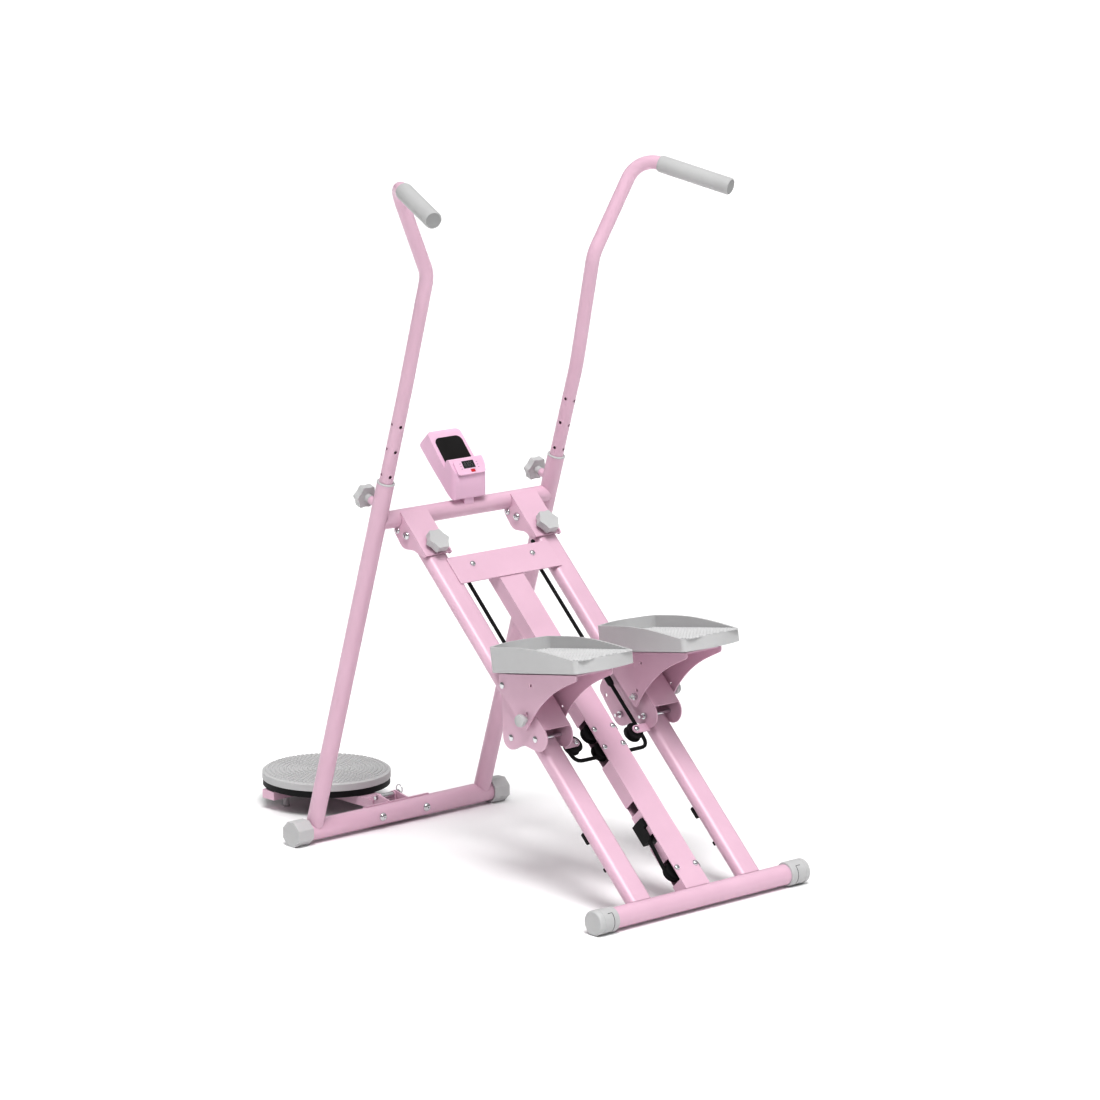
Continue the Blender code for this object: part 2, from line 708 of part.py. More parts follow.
def make_top_plate():
    """Cross plate on the rails and the beam, with a turned-down upper flange."""
    low = BEAM_TOP + GAP
    plate = box("top_plate", (0.290, 0.068, 0.0025), PAINT,
                rail_top(low + 0.00125) @ Matrix.Translation((0, 0.861, 0)))
    flange = box("top_flange", (0.254, 0.0025, 0.030), PAINT,
                 rail_top(low - 0.0125) @ Matrix.Translation((0, 0.89375, 0)))
    x, s = TOP_PULLEY
    holes = [rod("top_axle_hole", on_rail(sign * x, s, low - 0.004),
                 on_rail(sign * x, s, low + 0.008), 0.0032, PAINT) for sign in (-1.0, 1.0)]
    join(plate, flange)
    cut(plate, *holes)


def pulley(name, x, s, top):
    """Grooved pulley whose axle bolt stands up through a plate whose upper face is at top."""
    half = PULLEY_THICK / 2.0
    r = PULLEY_RADIUS
    g = PULLEY_GROOVE
    stem = 0.003
    head = top - ROPE_N
    profile = [(0.0, head + 0.0042), (0.0068, head + 0.0018), (0.0068, head + GAP),
               (stem, head + GAP), (stem, half), (r, half), (g, 0.0042), (g, -0.0042),
               (r, -half), (0.0, -half)]
    frame = turn_to(OFF_RAIL, on_rail(x, s, ROPE_N))
    wheel = smooth(turned(name, profile, RUBBER, frame, 16))
    return wheel


def make_ladder_pulleys():
    top = BEAM_TOP + GAP + 0.0025
    for side, sign in SIDES:
        x, s = TOP_PULLEY
        on_joint("top_pulley_axis_" + side, on_rail(sign * x, s, ROPE_N),
                 pulley("top_pulley_" + side, sign * x, s, top))
        name = "beam_roller_" + side
        on_joint(name + "_axis", on_rail(sign * ROLLER_X, UPPER_ROLLER_S, ROPE_N),
                 pulley(name, sign * ROLLER_X, UPPER_ROLLER_S, BEAM_TOP))
        name = "bottom_pulley_" + side
        on_joint(name + "_axis", on_rail(sign * ROLLER_X, BOTTOM_PULLEY_S, ROPE_N),
                 pulley(name, sign * ROLLER_X, BOTTOM_PULLEY_S, BEAM_TOP))


def make_tension_block():
    """Block that hooks into one of the beam's notches and holds the rope's ends."""
    low, high = BLOCK_SPAN
    long = high - low
    body = box("tension_block", (0.080, long, 0.029), RUBBER,
               rail_top(-0.0125) @ Matrix.Translation((0, (low + high) / 2.0, 0)))
    cutters = []
    for sign in (-1.0, 1.0):
        wall = sign * (BEAM_HALF - BEAM_WALL / 2.0)
        cutters.append(box("block_groove", (BEAM_WALL + 0.001, long + 0.02, 0.030), RUBBER,
                           rail_top(-0.0055)
                           @ Matrix.Translation((wall, (low + high) / 2.0, 0))))
    cutters.append(box("block_channel", (0.034, long + 0.02, 0.020), RUBBER,
                       rail_top(-0.001) @ Matrix.Translation((0, (low + high) / 2.0, 0))))
    cut(body, *cutters)
    s_low, s_high = BLOCK_NOTCHES[1]
    join(body, box("block_hook", (0.020, s_high - s_low - 0.002, 0.026), RUBBER,
                   rail_top(-0.0050)
                   @ Matrix.Translation((-0.030, (s_low + s_high) / 2.0, 0))))
    on_joint("block_lift", on_rail(0.0, (low + high) / 2.0, -0.0125), body)


# ---------------------------------------------------------------- ropes
def rope_places(flat):
    return [on_rail(x, s, ROPE_N) for x, s in flat]


def make_top_rope():
    """One piece of rope over both top pulleys, ending level with their centres."""
    x, s = TOP_PULLEY
    left = arc(-x, s, ROPE_TURN, pi, pi / 2.0, 7)
    right = arc(x, s, ROPE_TURN, pi / 2.0, 0.0, 7)
    start = [(-x - ROPE_TURN, s - 0.006)]
    end = [(x + ROPE_TURN, s - 0.006)]
    bent_tube("rope_top", rope_places(start + left + right + end), ROPE_RADIUS, ROPE, 2)


def make_side_ropes():
    """Each side's run from a top pulley down round a carriage pulley and into the beam."""
    for side, sign in SIDES:
        x_low = CARRIAGE_PULLEY[0] + ROPE_TURN
        x_high = TOP_PULLEY[0] + ROPE_TURN
        high = TOP_PULLEY[1] - 0.006 - GAP
        low = CARRIAGE_PULLEY[1]
        count = 9
        flat = []
        for i in range(count):
            share = i / (count - 1)
            flat.append((x_high + (x_low - x_high) * share, high + (low - high) * share))
        flat += [(x_low, 0.396), (0.1035, 0.384), (0.0960, 0.3735),
                 (0.0850, 0.3670), (0.0720, 0.3650), (0.0600, 0.3680), (0.0500, 0.3750),
                 (0.0400, 0.3860), (0.0300, 0.3965), (0.0200, 0.4010), (0.0120, 0.3985),
                 (0.0089, 0.3900), (ROLLER_X - ROPE_TURN, 0.3765)]
        bent_tube("rope_" + side,
                  rope_places([(sign * px, ps) for px, ps in flat]), ROPE_RADIUS, ROPE, 2)


def make_beam_rope():
    """Rope inside the beam: from the block round both bottom pulleys and up to the rollers."""
    for side, sign in SIDES:
        turn = arc(sign * ROLLER_X, BOTTOM_PULLEY_S, ROPE_TURN,
                   pi if sign < 0 else 0.0, 2.0 * pi if sign < 0 else -pi, 11)
        inner_x = sign * (ROLLER_X - ROPE_TURN)
        flat = [(sign * 0.0372, BLOCK_SPAN[0] - GAP)]
        flat += turn
        flat += [(inner_x, 0.200), (inner_x, 0.3765 - GAP)]
        bent_tube("rope_beam_" + side, rope_places(flat), ROPE_RADIUS, ROPE, 2)


# ---------------------------------------------------------------- carriages
def carriage_outline(inner):
    """Side plate of a carriage: a pivot end, two rounded feet and a straight roof edge."""
    stops = [
        (0.425, 0.0255, 0.029),
        (0.422, -0.0320, -0.020),
        (0.473, -0.0420, 0.0245),
    ]
    if inner:
        stops.append((0.540, -0.0420, 0.018))
    stops += [
        (TILT_PIVOT[0], TILT_PIVOT[1], 0.019),
        (0.532, CARRIAGE_ROOF, 0.0),
    ]
    return ring_of(stops, radians(30))


def pin_slot():
    """Curved slot for the lock pin, concentric with the tilt pivot."""
    px, py = TILT_PIVOT
    dx = LOCK_PIN[0] - px
    dy = LOCK_PIN[1] - py
    reach = hypot(dx, dy)
    middle = atan2(dy, dx)
    first = middle - TILT_UP - radians(0.3)
    last = middle + TILT_DOWN + radians(0.3)
    half = 0.0045
    points = arc(px, py, reach + half, first, last, 4)
    end = (px + reach * cos(last), py + reach * sin(last))
    points += arc(end[0], end[1], half, last, last + pi, 4)[1:-1]
    points += arc(px, py, reach - half, last, first, 4)
    start = (px + reach * cos(first), py + reach * sin(first))
    points += arc(start[0], start[1], half, first + pi, first + 2.0 * pi, 4)[1:-1]
    return points


def make_carriages():
    for side, sign in SIDES:
        holes = [circle(*TILT_PIVOT, 0.0042), circle(*GUIDE_ROD, 0.0042),
                 circle(*UNDER_ROLLER, 0.0042), pin_slot()]
        inner_hole = circle(0.530, -0.050, 0.004)
        outer = flat_plate("carriage_" + side, [carriage_outline(False)] + holes, PLATE, PAINT,
                           rail_side(sign * (CARRIAGE_OUTER - PLATE / 2.0)))
        inner = flat_plate("carriage_inner_" + side,
                           [carriage_outline(True)] + holes + [inner_hole], PLATE, PAINT,
                           rail_side(sign * (CARRIAGE_INNER + PLATE / 2.0)))
        web_low = 0.425
        web_high = 0.532
        web = box("carriage_web_" + side,
                  (CARRIAGE_OUTER - CARRIAGE_INNER, web_high - web_low, PLATE), PAINT,
                  rail_top(CARRIAGE_ROOF - PLATE / 2.0)
                  @ Matrix.Translation((sign * RAIL_X, (web_low + web_high) / 2.0, 0)))
        x, s = CARRIAGE_PULLEY
        tab_top = 0.0085
        reach = CARRIAGE_INNER + 0.0015 - x
        tab_edge = ring_of([(0.0, 0.0, 0.0095), (reach, -0.0095, 0.0), (reach, 0.0095, 0.0)])
        tab_frame = basis(X_AXIS * sign, UP_RAIL * sign, OFF_RAIL,
                          on_rail(sign * x, s, tab_top - PLATE / 2.0))
        tab = flat_plate("carriage_tab_" + side, [tab_edge, circle(0.0, 0.0, 0.0032)],
                         PLATE, PAINT, tab_frame)
        join(outer, inner, web, tab)
        wheel = pulley("carriage_pulley_" + side, sign * x, s, tab_top)
        low = on_rail(sign * CARRIAGE_OUTER, *GUIDE_ROD)
        high = on_rail(sign * CARRIAGE_INNER, *GUIDE_ROD)
        axle = guide_rod("guide_rod_" + side, low, high)
        roller = under_roller("rail_roller_" + side, sign)
        on_joint("carriage_slide_" + side, on_rail(sign * RAIL_X, UNDER_ROLLER[0], 0.0),
                 outer, axle)
        on_joint("carriage_pulley_axis_" + side, on_rail(sign * x, s, ROPE_N), wheel)
        on_joint("rail_roller_axis_" + side, on_rail(sign * RAIL_X, *UNDER_ROLLER), roller)


def guide_rod(name, start, end):
    """Bright rod over the rail, stepped down to a bolt thread in both side plates."""
    length = (end - start).length
    body = 0.005
    head = 0.0068
    profile = [(0.0, length + 0.018), (0.0035, length + 0.018), (0.0035, length + 0.006),
               (head, length + 0.006), (head, length + GAP), (0.004, length + GAP),
               (0.004, length - PLATE - GAP), (body, length - PLATE - GAP),
               (body, PLATE + GAP), (0.004, PLATE + GAP), (0.004, -GAP), (head, -GAP),
               (head, -0.0015), (0.0, -0.0045)]
    return smooth(turned(name, profile, ZINC, turn_to(end - start, start), 12))


def under_roller(name, sign):
    """Flanged roller under the rail, with its bolt."""
    start = on_rail(sign * CARRIAGE_OUTER, *UNDER_ROLLER)
    end = on_rail(sign * CARRIAGE_INNER, *UNDER_ROLLER)
    length = (end - start).length
    rail_low = RAIL_N - RAIL_DEPTH / 2.0
    body = rail_low - UNDER_ROLLER[1] - 0.0004
    flange = body + 0.003
    inset = PLATE + 0.0008
    head = 0.0068
    profile = [(0.0, length + 0.018), (0.0035, length + 0.018), (0.0035, length + 0.006),
               (head, length + 0.006), (head, length + GAP), (0.0038, length + GAP),
               (0.0038, length - inset), (flange, length - inset),
               (flange, length - inset - 0.0015), (body, length - inset - 0.018),
               (body, inset + 0.018), (flange, inset + 0.0015), (flange, inset),
               (0.0038, inset), (0.0038, -GAP), (head, -GAP), (head, -0.0015),
               (0.0, -0.0045)]
    return smooth(turned(name, profile, ZINC, turn_to(end - start, start), 20))


# ---------------------------------------------------------------- pedals
def support_outline():
    """Side cheek under a pedal: level top, hollow rear edge and a point at the lock pin."""
    return ring_of([
        (0.3870, 0.4652, 0.0),
        (0.1510, 0.5010, 0.0),
        (0.1590, 0.4945, 0.0085),
        (0.0760, 0.2440, -0.2530),
        (0.3060, 0.3660, 0.0070),
        (0.3810, 0.4360, 0.0060),
    ], radians(10))


def level_point(flat):
    """A point up and off the rails, as distances from the rear bar level and from the floor."""
    place = on_rail(0.0, flat[0], flat[1])
    return place.y - BAR_Y, place.z


def make_pedals():
    pivot = level_point(TILT_PIVOT)
    pin = level_point(LOCK_PIN)
    holes = [circle(*pivot, 0.0042), circle(*pin, 0.0045), circle(0.301, 0.3955, 0.003),
             circle(0.289, 0.457, 0.003)]
    pitch = atan2(0.5010 - 0.4652, 0.3870 - 0.1510)
    for side, sign in SIDES:
        support = flat_plate("pedal_support_" + side, [support_outline()] + holes, PLATE,
                             PAINT, upright_plane(sign * (SUPPORT_OUTER - PLATE / 2.0)))
        inner = flat_plate("support_inner_" + side, [support_outline()] + holes, PLATE,
                           PAINT, upright_plane(sign * (SUPPORT_INNER + PLATE / 2.0)))
        middle_y = (0.3870 + 0.1560) / 2.0
        middle_z = (0.4652 + 0.5004) / 2.0
        roof_length = hypot(0.3870 - 0.1560, 0.5004 - 0.4652)
        heel_up = Matrix.Rotation(-pitch, 4, "X")
        roof = box("support_roof_" + side, (SUPPORT_OUTER - SUPPORT_INNER, roof_length, PLATE),
                   PAINT, Matrix.Translation(from_rear(sign * (SUPPORT_OUTER + SUPPORT_INNER)
                                                       / 2.0, middle_y, middle_z - 0.0015))
                   @ heel_up)
        join(support, inner, roof)
        tray = pedal_tray("pedal_" + side, sign, pitch)
        pivot_bolt = bolt("pedal_pivot_" + side,
                          on_rail(sign * SUPPORT_OUTER, *TILT_PIVOT),
                          on_rail(sign * SUPPORT_INNER, *TILT_PIVOT), 0.004, 0.0068)
        on_joint("pedal_tilt_" + side, on_rail(sign * RAIL_X, *TILT_PIVOT),
                 support, tray, pivot_bolt)
        knob = lock_pin("lock_pin_" + side, sign)
        on_joint("lock_pin_axis_" + side, on_rail(sign * SUPPORT_OUTER, *LOCK_PIN), knob)


def lock_pin(name, sign):
    """Long pin through both cheeks with a round grey knob outside and a nut inside."""
    start = on_rail(sign * SUPPORT_OUTER, *LOCK_PIN)
    end = on_rail(sign * SUPPORT_INNER, *LOCK_PIN)
    length = (end - start).length
    profile = [(0.0, length + 0.016), (0.0035, length + 0.016), (0.0035, length + 0.006),
               (0.0068, length + 0.006), (0.0068, length + GAP), (0.004, length + GAP),
               (0.004, -GAP), (0.0065, -GAP), (0.0065, -0.008), (0.0125, -0.010),
               (0.0138, -0.015), (0.0125, -0.020), (0.0, -0.0245)]
    return smooth(turned(name, profile, PLASTIC, turn_to(end - start, start), 16))


def tray_outline():
    """Sole outline with local x across and local y from heel to toe."""
    half = PEDAL_HALF
    return ring_of([
        (-half + 0.012, 0.024, 0.012),
        (0.0, 0.150, 0.150),
        (half - 0.012, 0.024, 0.012),
        (half - 0.022, 0.262, 0.022),
        (0.0, 0.200, 0.101),
        (-half + 0.022, 0.262, 0.022),
    ], radians(12))


def pedal_tray(name, sign, pitch):
    """Foot tray whose side walls rise from nothing at the heel to full height at the toe."""
    heel = from_rear(sign * PEDAL_X, 0.1080, 0.5148)
    frame = Matrix.Translation(heel) @ Matrix.Rotation(-pitch, 4, "X")
    outline = tray_outline()
    tray = flat_plate(name, [outline], 0.060, PLASTIC, frame @ Matrix.Translation((0, 0, 0.030)))
    rim = []
    for i in range(13):
        along = RIM_START + (PEDAL_LENGTH - RIM_START) * i / 12.0
        share = min(1.0, (along - RIM_START) / RIM_RISE_LENGTH)
        rim.append((along, SOLE_THICK + 0.0005 + RIM_RISE * sin(share * pi / 2.0)))
    side_view = [(-0.02, SOLE_THICK + 0.0005)] + rim + [(0.34, rim[-1][1]), (0.34, 0.12),
                                                       (-0.02, 0.12)]
    side_frame = frame @ basis(Vector((0, 1, 0)), Vector((0, 0, 1)), X_AXIS, Vector((0, 0, 0)))
    above = flat_plate(name + "_above", [side_view], 0.30, PLASTIC, side_frame)
    inset = ring_of([
        (-PEDAL_HALF + 0.017, -0.040, 0.012), (PEDAL_HALF - 0.017, -0.040, 0.012),
        (PEDAL_HALF - 0.024, 0.259, 0.018), (0.0, 0.200, 0.095),
        (-PEDAL_HALF + 0.024, 0.259, 0.018),
    ], radians(12))
    well = flat_plate(name + "_well", [inset], 0.060, PLASTIC,
                      frame @ Matrix.Translation((0, 0, SOLE_THICK + 0.030)))
    cut(tray, above, well)
    return smooth(tray)


# ---------------------------------------------------------------- twist disc
def make_disc():
    centre = from_rear(0.0, DISC_ALONG, 0.0)
    r = DISC_RADIUS
    top = [(0.0, DISC_TOP), (r - 0.004, DISC_TOP), (r, DISC_TOP - 0.003),
           (r, 0.0610), (r - 0.012, 0.0605), (0.0, 0.0605)]
    lid = smooth(turned("disc_top", top, PLASTIC, Matrix.Translation(centre), 48))
    base = [(0.0, 0.0600), (r - 0.0015, 0.0600), (r - 0.0015, 0.0470), (r - 0.006, 0.0450),
            (0.0, 0.0450)]
    ring = smooth(turned("disc_base", base, RUBBER, Matrix.Translation(centre), 48))
    on_joint("disc_spin", centre, lid)
    arm_low = 0.0250
    arm_high = 0.0450 - GAP
    arm_start = DISC_PIN_ALONG + 0.016
    arm_end = DISC_ALONG + 0.075
    arm = box("disc_arm", (0.052, arm_end - arm_start, arm_high - arm_low), PAINT,
              Matrix.Translation(from_rear(0.0, (arm_start + arm_end) / 2.0,
                                           (arm_low + arm_high) / 2.0)))
    spread = box("disc_spreader", (0.280, 0.040, arm_high - arm_low), PAINT,
                 Matrix.Translation(from_rear(0.0, DISC_FOOT_ALONG, (arm_low + arm_high) / 2.0)))
    wall = 0.0025
    hollow = box("disc_arm_hollow", (0.052 - 2 * wall, 0.40, arm_high - arm_low), PAINT,
                 Matrix.Translation(from_rear(0.0, DISC_ALONG - 0.03,
                                              (arm_low + arm_high) / 2.0 - wall)))
    knuckles = []
    for sign in (-1.0, 1.0):
        ear = ring_of([(DISC_PIN_ALONG, DISC_PIN_Z, 0.008),
                       (DISC_PIN_ALONG - 0.002, 0.034, 0.008),
                       (DISC_PIN_ALONG + 0.034, arm_low + 0.001, 0.001),
                       (DISC_PIN_ALONG + 0.034, arm_high - 0.001, 0.001)])
        hole = circle(DISC_PIN_ALONG, DISC_PIN_Z, 0.0048, 12)
        knuckles.append(flat_plate("disc_knuckle", [ear, hole], 0.004, PAINT,
                                   upright_plane(sign * 0.0205)))
    join(arm, spread)
    cut(arm, hollow)
    join(arm, *knuckles)
    on_joint("disc_fold", from_rear(0.0, DISC_PIN_ALONG, DISC_PIN_Z), ring, arm)
    make_disc_bracket()


def make_disc_bracket():
    """Saddle plate on the front bar with two ears for the disc arm's pin."""
    outline = ring_of([
        (BAR_SPREAD, FRONT_BAR_Z, FRONT_BAR_RADIUS + 0.0045),
        (DISC_PIN_ALONG, DISC_PIN_Z, 0.009),
    ])
    bracket = None
    ears = []
    for sign in (-1.0, 1.0):
        ear = flat_plate("disc_ear", [outline, circle(DISC_PIN_ALONG, DISC_PIN_Z, 0.0048, 12),
                                      circle(BAR_SPREAD, FRONT_BAR_Z,
                                             FRONT_BAR_RADIUS + 0.0011, 20)],
                         0.004, PAINT, upright_plane(sign * 0.0260))
        ears.append(ear)
    saddle = turned("disc_bracket", [(FRONT_BAR_RADIUS + GAP, 0.090),
                                     (FRONT_BAR_RADIUS + 0.003, 0.090),
                                     (FRONT_BAR_RADIUS + 0.003, -0.090),
                                     (FRONT_BAR_RADIUS + GAP, -0.090)],
                    PAINT, turn_to(X_AXIS, FRONT_BAR), 20, closed=True)
    front_half = box("saddle_trim", (0.20, 0.060, 0.060), PAINT,
                     Matrix.Translation(FRONT_BAR - Vector((0.0, 0.030, 0.0))))
    floor = box("saddle_floor", (0.20, 0.08, 0.010), PAINT,
                Matrix.Translation(FRONT_BAR - Vector((0, 0, FRONT_BAR_RADIUS + 0.004))))
    bracket = saddle
    join(bracket, *ears)
    cut(bracket, front_half, floor)
    smooth(bracket)
    pin_z = DISC_PIN_Z
    start = from_rear(0.0365, DISC_PIN_ALONG, pin_z)
    end = from_rear(-0.034, DISC_PIN_ALONG, pin_z)
    length = (end - start).length
    profile = [(0.0, length), (0.0042, length - 0.0008), (0.0042, 0.0035), (0.0085, 0.0035),
               (0.0085, 0.0005), (0.0070, 0.0), (0.0, 0.0)]
    pin = smooth(turned("disc_pin", profile, ZINC, turn_to(end - start, start), 16))
    on_joint("disc_pin_axis", start, pin)


# ---------------------------------------------------------------- remaining places
KNOB_ALONG = 0.787
BRACKET_KNOB_S = 0.930
CLAMP_BOLT = (1.0015, -0.0175)
HANDLE_KINK = 1.060             # where the handle leaves the upright's line
HANDLE_ELBOW = (0.2364, 0.5755, 1.2870)
HANDLE_CROWN = (0.3450, 0.5520, 1.4910)
GRIP_END = (0.4203, 0.3456, 1.4369)
GRIP_LENGTH = 0.172
BEAM_WINDOWS = ((0.346, 0.452), (0.044, 0.095))
BLOCK_NOTCHES = ((0.219, 0.242), (0.1795, 0.2015), (0.139, 0.160))
BLOCK_SPAN = (0.152, 0.200)
CARRIAGE_ROOF = 0.055
TILT_UP = radians(4.0)
TILT_DOWN = radians(8.0)
PEDAL_X = 0.154
PEDAL_HALF = 0.0835
PEDAL_LENGTH = 0.302
SOLE_THICK = 0.027
RIM_START = 0.020
RIM_RISE_LENGTH = 0.190
RIM_RISE = 0.0260
DISC_FOOT_ALONG = 1.237

make_uprights()
make_front_bar()
make_crossbar()
make_brackets()
make_lock_knobs()
make_handles()
make_console()
make_rear_bar()
make_rails()
make_beam()
make_top_plate()
make_ladder_pulleys()
make_tension_block()
make_top_rope()
make_side_ropes()
make_beam_rope()
make_carriages()
make_pedals()
make_disc()
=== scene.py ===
"""Looks of the folding step climber: fine skins, fittings, materials, light and camera."""

import json
from math import acos, atan2, cos, hypot, pi, radians, sin, sqrt, tan

import bmesh
import bpy
from mathutils import Matrix, Vector

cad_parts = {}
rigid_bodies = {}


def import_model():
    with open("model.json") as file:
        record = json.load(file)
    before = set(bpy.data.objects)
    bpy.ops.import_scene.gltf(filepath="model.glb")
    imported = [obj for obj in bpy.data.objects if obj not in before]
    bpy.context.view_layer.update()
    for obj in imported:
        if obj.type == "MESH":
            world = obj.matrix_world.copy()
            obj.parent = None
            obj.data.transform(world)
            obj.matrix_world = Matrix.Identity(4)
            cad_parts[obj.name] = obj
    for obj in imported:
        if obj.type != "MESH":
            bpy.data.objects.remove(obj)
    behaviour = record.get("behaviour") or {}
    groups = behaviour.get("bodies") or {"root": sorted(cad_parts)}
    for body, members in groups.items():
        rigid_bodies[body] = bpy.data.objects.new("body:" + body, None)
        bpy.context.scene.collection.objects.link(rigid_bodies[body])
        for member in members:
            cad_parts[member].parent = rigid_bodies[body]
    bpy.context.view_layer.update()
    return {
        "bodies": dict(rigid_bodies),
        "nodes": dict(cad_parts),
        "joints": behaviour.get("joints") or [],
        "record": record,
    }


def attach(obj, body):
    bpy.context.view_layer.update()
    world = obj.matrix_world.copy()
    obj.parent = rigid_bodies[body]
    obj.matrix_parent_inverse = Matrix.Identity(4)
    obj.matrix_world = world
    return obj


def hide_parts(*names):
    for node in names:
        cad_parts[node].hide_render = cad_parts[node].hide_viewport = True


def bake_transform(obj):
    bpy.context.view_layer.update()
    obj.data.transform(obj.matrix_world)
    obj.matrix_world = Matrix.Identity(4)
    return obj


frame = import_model()

# ---------------------------------------------------------------- driving dimensions
GAP = 0.0003                    # clearance between faces that touch
LEAN = radians(17.3)            # uprights, from vertical towards the user
SLOPE = radians(44.8)           # rails, from horizontal

REAR_CAP_RADIUS = 0.0263
REAR_BAR_RADIUS = 0.022
REAR_BAR_HALF = 0.304
FRONT_BAR_RADIUS = 0.0225
FRONT_BAR_HALF = 0.309
FRONT_CAP_FLATS = 0.055
FRONT_CAP_LENGTH = 0.043
BAR_SPREAD = 0.953              # rear bar axis to front bar axis

UPRIGHT_X = 0.245
UPRIGHT_RADIUS = 0.019
UPRIGHT_BORE = 0.0168
UPRIGHT_LENGTH = 0.842
CROSSBAR_ALONG = 0.751          # up the upright, from the front bar axis
HANDLE_RADIUS = 0.015
HANDLE_BORE = 0.0132
HANDLE_INSERTED = 0.200

DISC_RADIUS = 0.145
DISC_TOP = 0.079
DISC_ALONG = 1.200              # disc axis, from the rear bar axis
DISC_PIN_ALONG = 0.994
DISC_PIN_Z = 0.054

RAIL_X = 0.158
RAIL_WIDTH = 0.060
RAIL_DEPTH = 0.030
RAIL_N = -0.002                 # rail mid-plane, above the rear bar axis
RAIL_WALL = 0.0025
PIVOT_S = 0.976                 # fold pivot, up the rail from the rear bar axis
RAIL_OVERHANG = 0.006           # short enough to swing clear of the bracket's web

BEAM_HALF = 0.034
BEAM_TOP = 0.013
BEAM_BOTTOM = -0.020
BEAM_WALL = 0.0025
BEAM_END = 0.876
TOP_PLATE_ROOF = BEAM_TOP + GAP + 0.0025

ROPE_RADIUS = 0.004
ROPE_N = -0.005                 # plane of the ropes and pulleys
PULLEY_RADIUS = 0.020
PULLEY_THICK = 0.016
PULLEY_GROOVE = 0.0137
ROPE_TURN = PULLEY_GROOVE + ROPE_RADIUS + GAP
TOP_PULLEY = (0.086, 0.870)
CARRIAGE_PULLEY = (0.088, 0.406)
ROLLER_X = 0.0265
UPPER_ROLLER_S = 0.4235
LOWER_ROLLER_S = 0.378
BOTTOM_PULLEY_S = 0.070

PLATE = 0.003                   # sheet metal
CARRIAGE_OUTER = 0.195
CARRIAGE_INNER = 0.121
SUPPORT_OUTER = 0.209
SUPPORT_INNER = 0.106
TILT_PIVOT = (0.561, 0.030)
LOCK_PIN = (0.467, 0.038)
GUIDE_ROD = (0.427, 0.0183)
UNDER_ROLLER = (0.473, -0.0405)

BAR_Y = -(DISC_ALONG + DISC_RADIUS - REAR_CAP_RADIUS) / 2.0
REAR_BAR_Z = REAR_CAP_RADIUS
FRONT_BAR_Z = FRONT_CAP_FLATS / 2.0
FRONT_BAR_Y = BAR_Y + BAR_SPREAD

X_AXIS = Vector((1.0, 0.0, 0.0))
UP_RAIL = Vector((0.0, cos(SLOPE), sin(SLOPE)))
OFF_RAIL = Vector((0.0, -sin(SLOPE), cos(SLOPE)))
UP_POST = Vector((0.0, -sin(LEAN), cos(LEAN)))
OFF_POST = Vector((0.0, cos(LEAN), sin(LEAN)))
REAR_BAR = Vector((0.0, BAR_Y, REAR_BAR_Z))
FRONT_BAR = Vector((0.0, FRONT_BAR_Y, FRONT_BAR_Z))
SIDES = (("left", -1.0), ("right", 1.0))

KNOB_ALONG = 0.787
BRACKET_KNOB_S = 0.930
CLAMP_BOLT = (1.0015, -0.0175)
HANDLE_KINK = 1.060             # where the handle leaves the upright's line
HANDLE_ELBOW = (0.2364, 0.5755, 1.2870)
HANDLE_CROWN = (0.3450, 0.5520, 1.4910)
GRIP_END = (0.4203, 0.3456, 1.4369)
GRIP_LENGTH = 0.172
# spans up the beam of its windows, of its notches and of the block at rest
BEAM_WINDOWS = ((0.346, 0.452), (0.044, 0.095))
BLOCK_NOTCHES = ((0.219, 0.242), (0.1795, 0.2015), (0.139, 0.160))
BLOCK_SPAN = (0.152, 0.200)
CARRIAGE_ROOF = 0.055
TAB_TOP = 0.0085                # upper face of the tab that carries the pulley
TILT_UP = radians(4.0)          # ends of the lock pin's slot
TILT_DOWN = radians(8.0)
SUPPORT_TOE = (0.3870, 0.4652)  # ends of the supports' top edge, level and up
SUPPORT_HEEL = (0.1510, 0.5010)
PEDAL_PITCH = atan2(SUPPORT_HEEL[1] - SUPPORT_TOE[1], SUPPORT_TOE[0] - SUPPORT_HEEL[0])
PEDAL_X = 0.154
PEDAL_HALF = 0.0835
PEDAL_LENGTH = 0.302
SOLE_THICK = 0.027
RIM_START = 0.020
RIM_RISE_LENGTH = 0.190
RIM_RISE = 0.0260
DISC_FOOT_ALONG = 1.237
ARM_LOW = 0.0250                # underside of the disc's arm

# ---------------------------------------------------------------- places
def on_rail(x, s, n):
    """World place of a point s up the rails, n off their plane."""
    return REAR_BAR + X_AXIS * x + UP_RAIL * s + OFF_RAIL * n


def on_post(x, along, off=0.0):
    """World place of a point up an upright, off its axis towards the front."""
    return FRONT_BAR + X_AXIS * x + UP_POST * along + OFF_POST * off


def from_rear(x, y, z):
    """World place of a point measured level from the rear bar axis, with z from the floor."""
    return Vector((x, BAR_Y + y, z))


def basis(x_dir, y_dir, z_dir, place):
    """Matrix whose columns are the three directions and the place."""
    rows = Matrix((x_dir, y_dir, z_dir)).transposed().to_4x4()
    return Matrix.Translation(place) @ rows


def rail_side(x):
    """Local x up the rail, local y off it, local z along +X."""
    return basis(UP_RAIL, OFF_RAIL, X_AXIS, on_rail(x, 0.0, 0.0))


def rail_top(n):
    """Local x along +X, local y up the rail, local z off it."""
    return basis(X_AXIS, UP_RAIL, OFF_RAIL, on_rail(0.0, 0.0, n))


def upright_plane(x):
    """Local x along world Y from the rear bar, local y along world Z, local z along +X."""
    return basis(Vector((0, 1, 0)), Vector((0, 0, 1)), X_AXIS, Vector((x, BAR_Y, 0.0)))


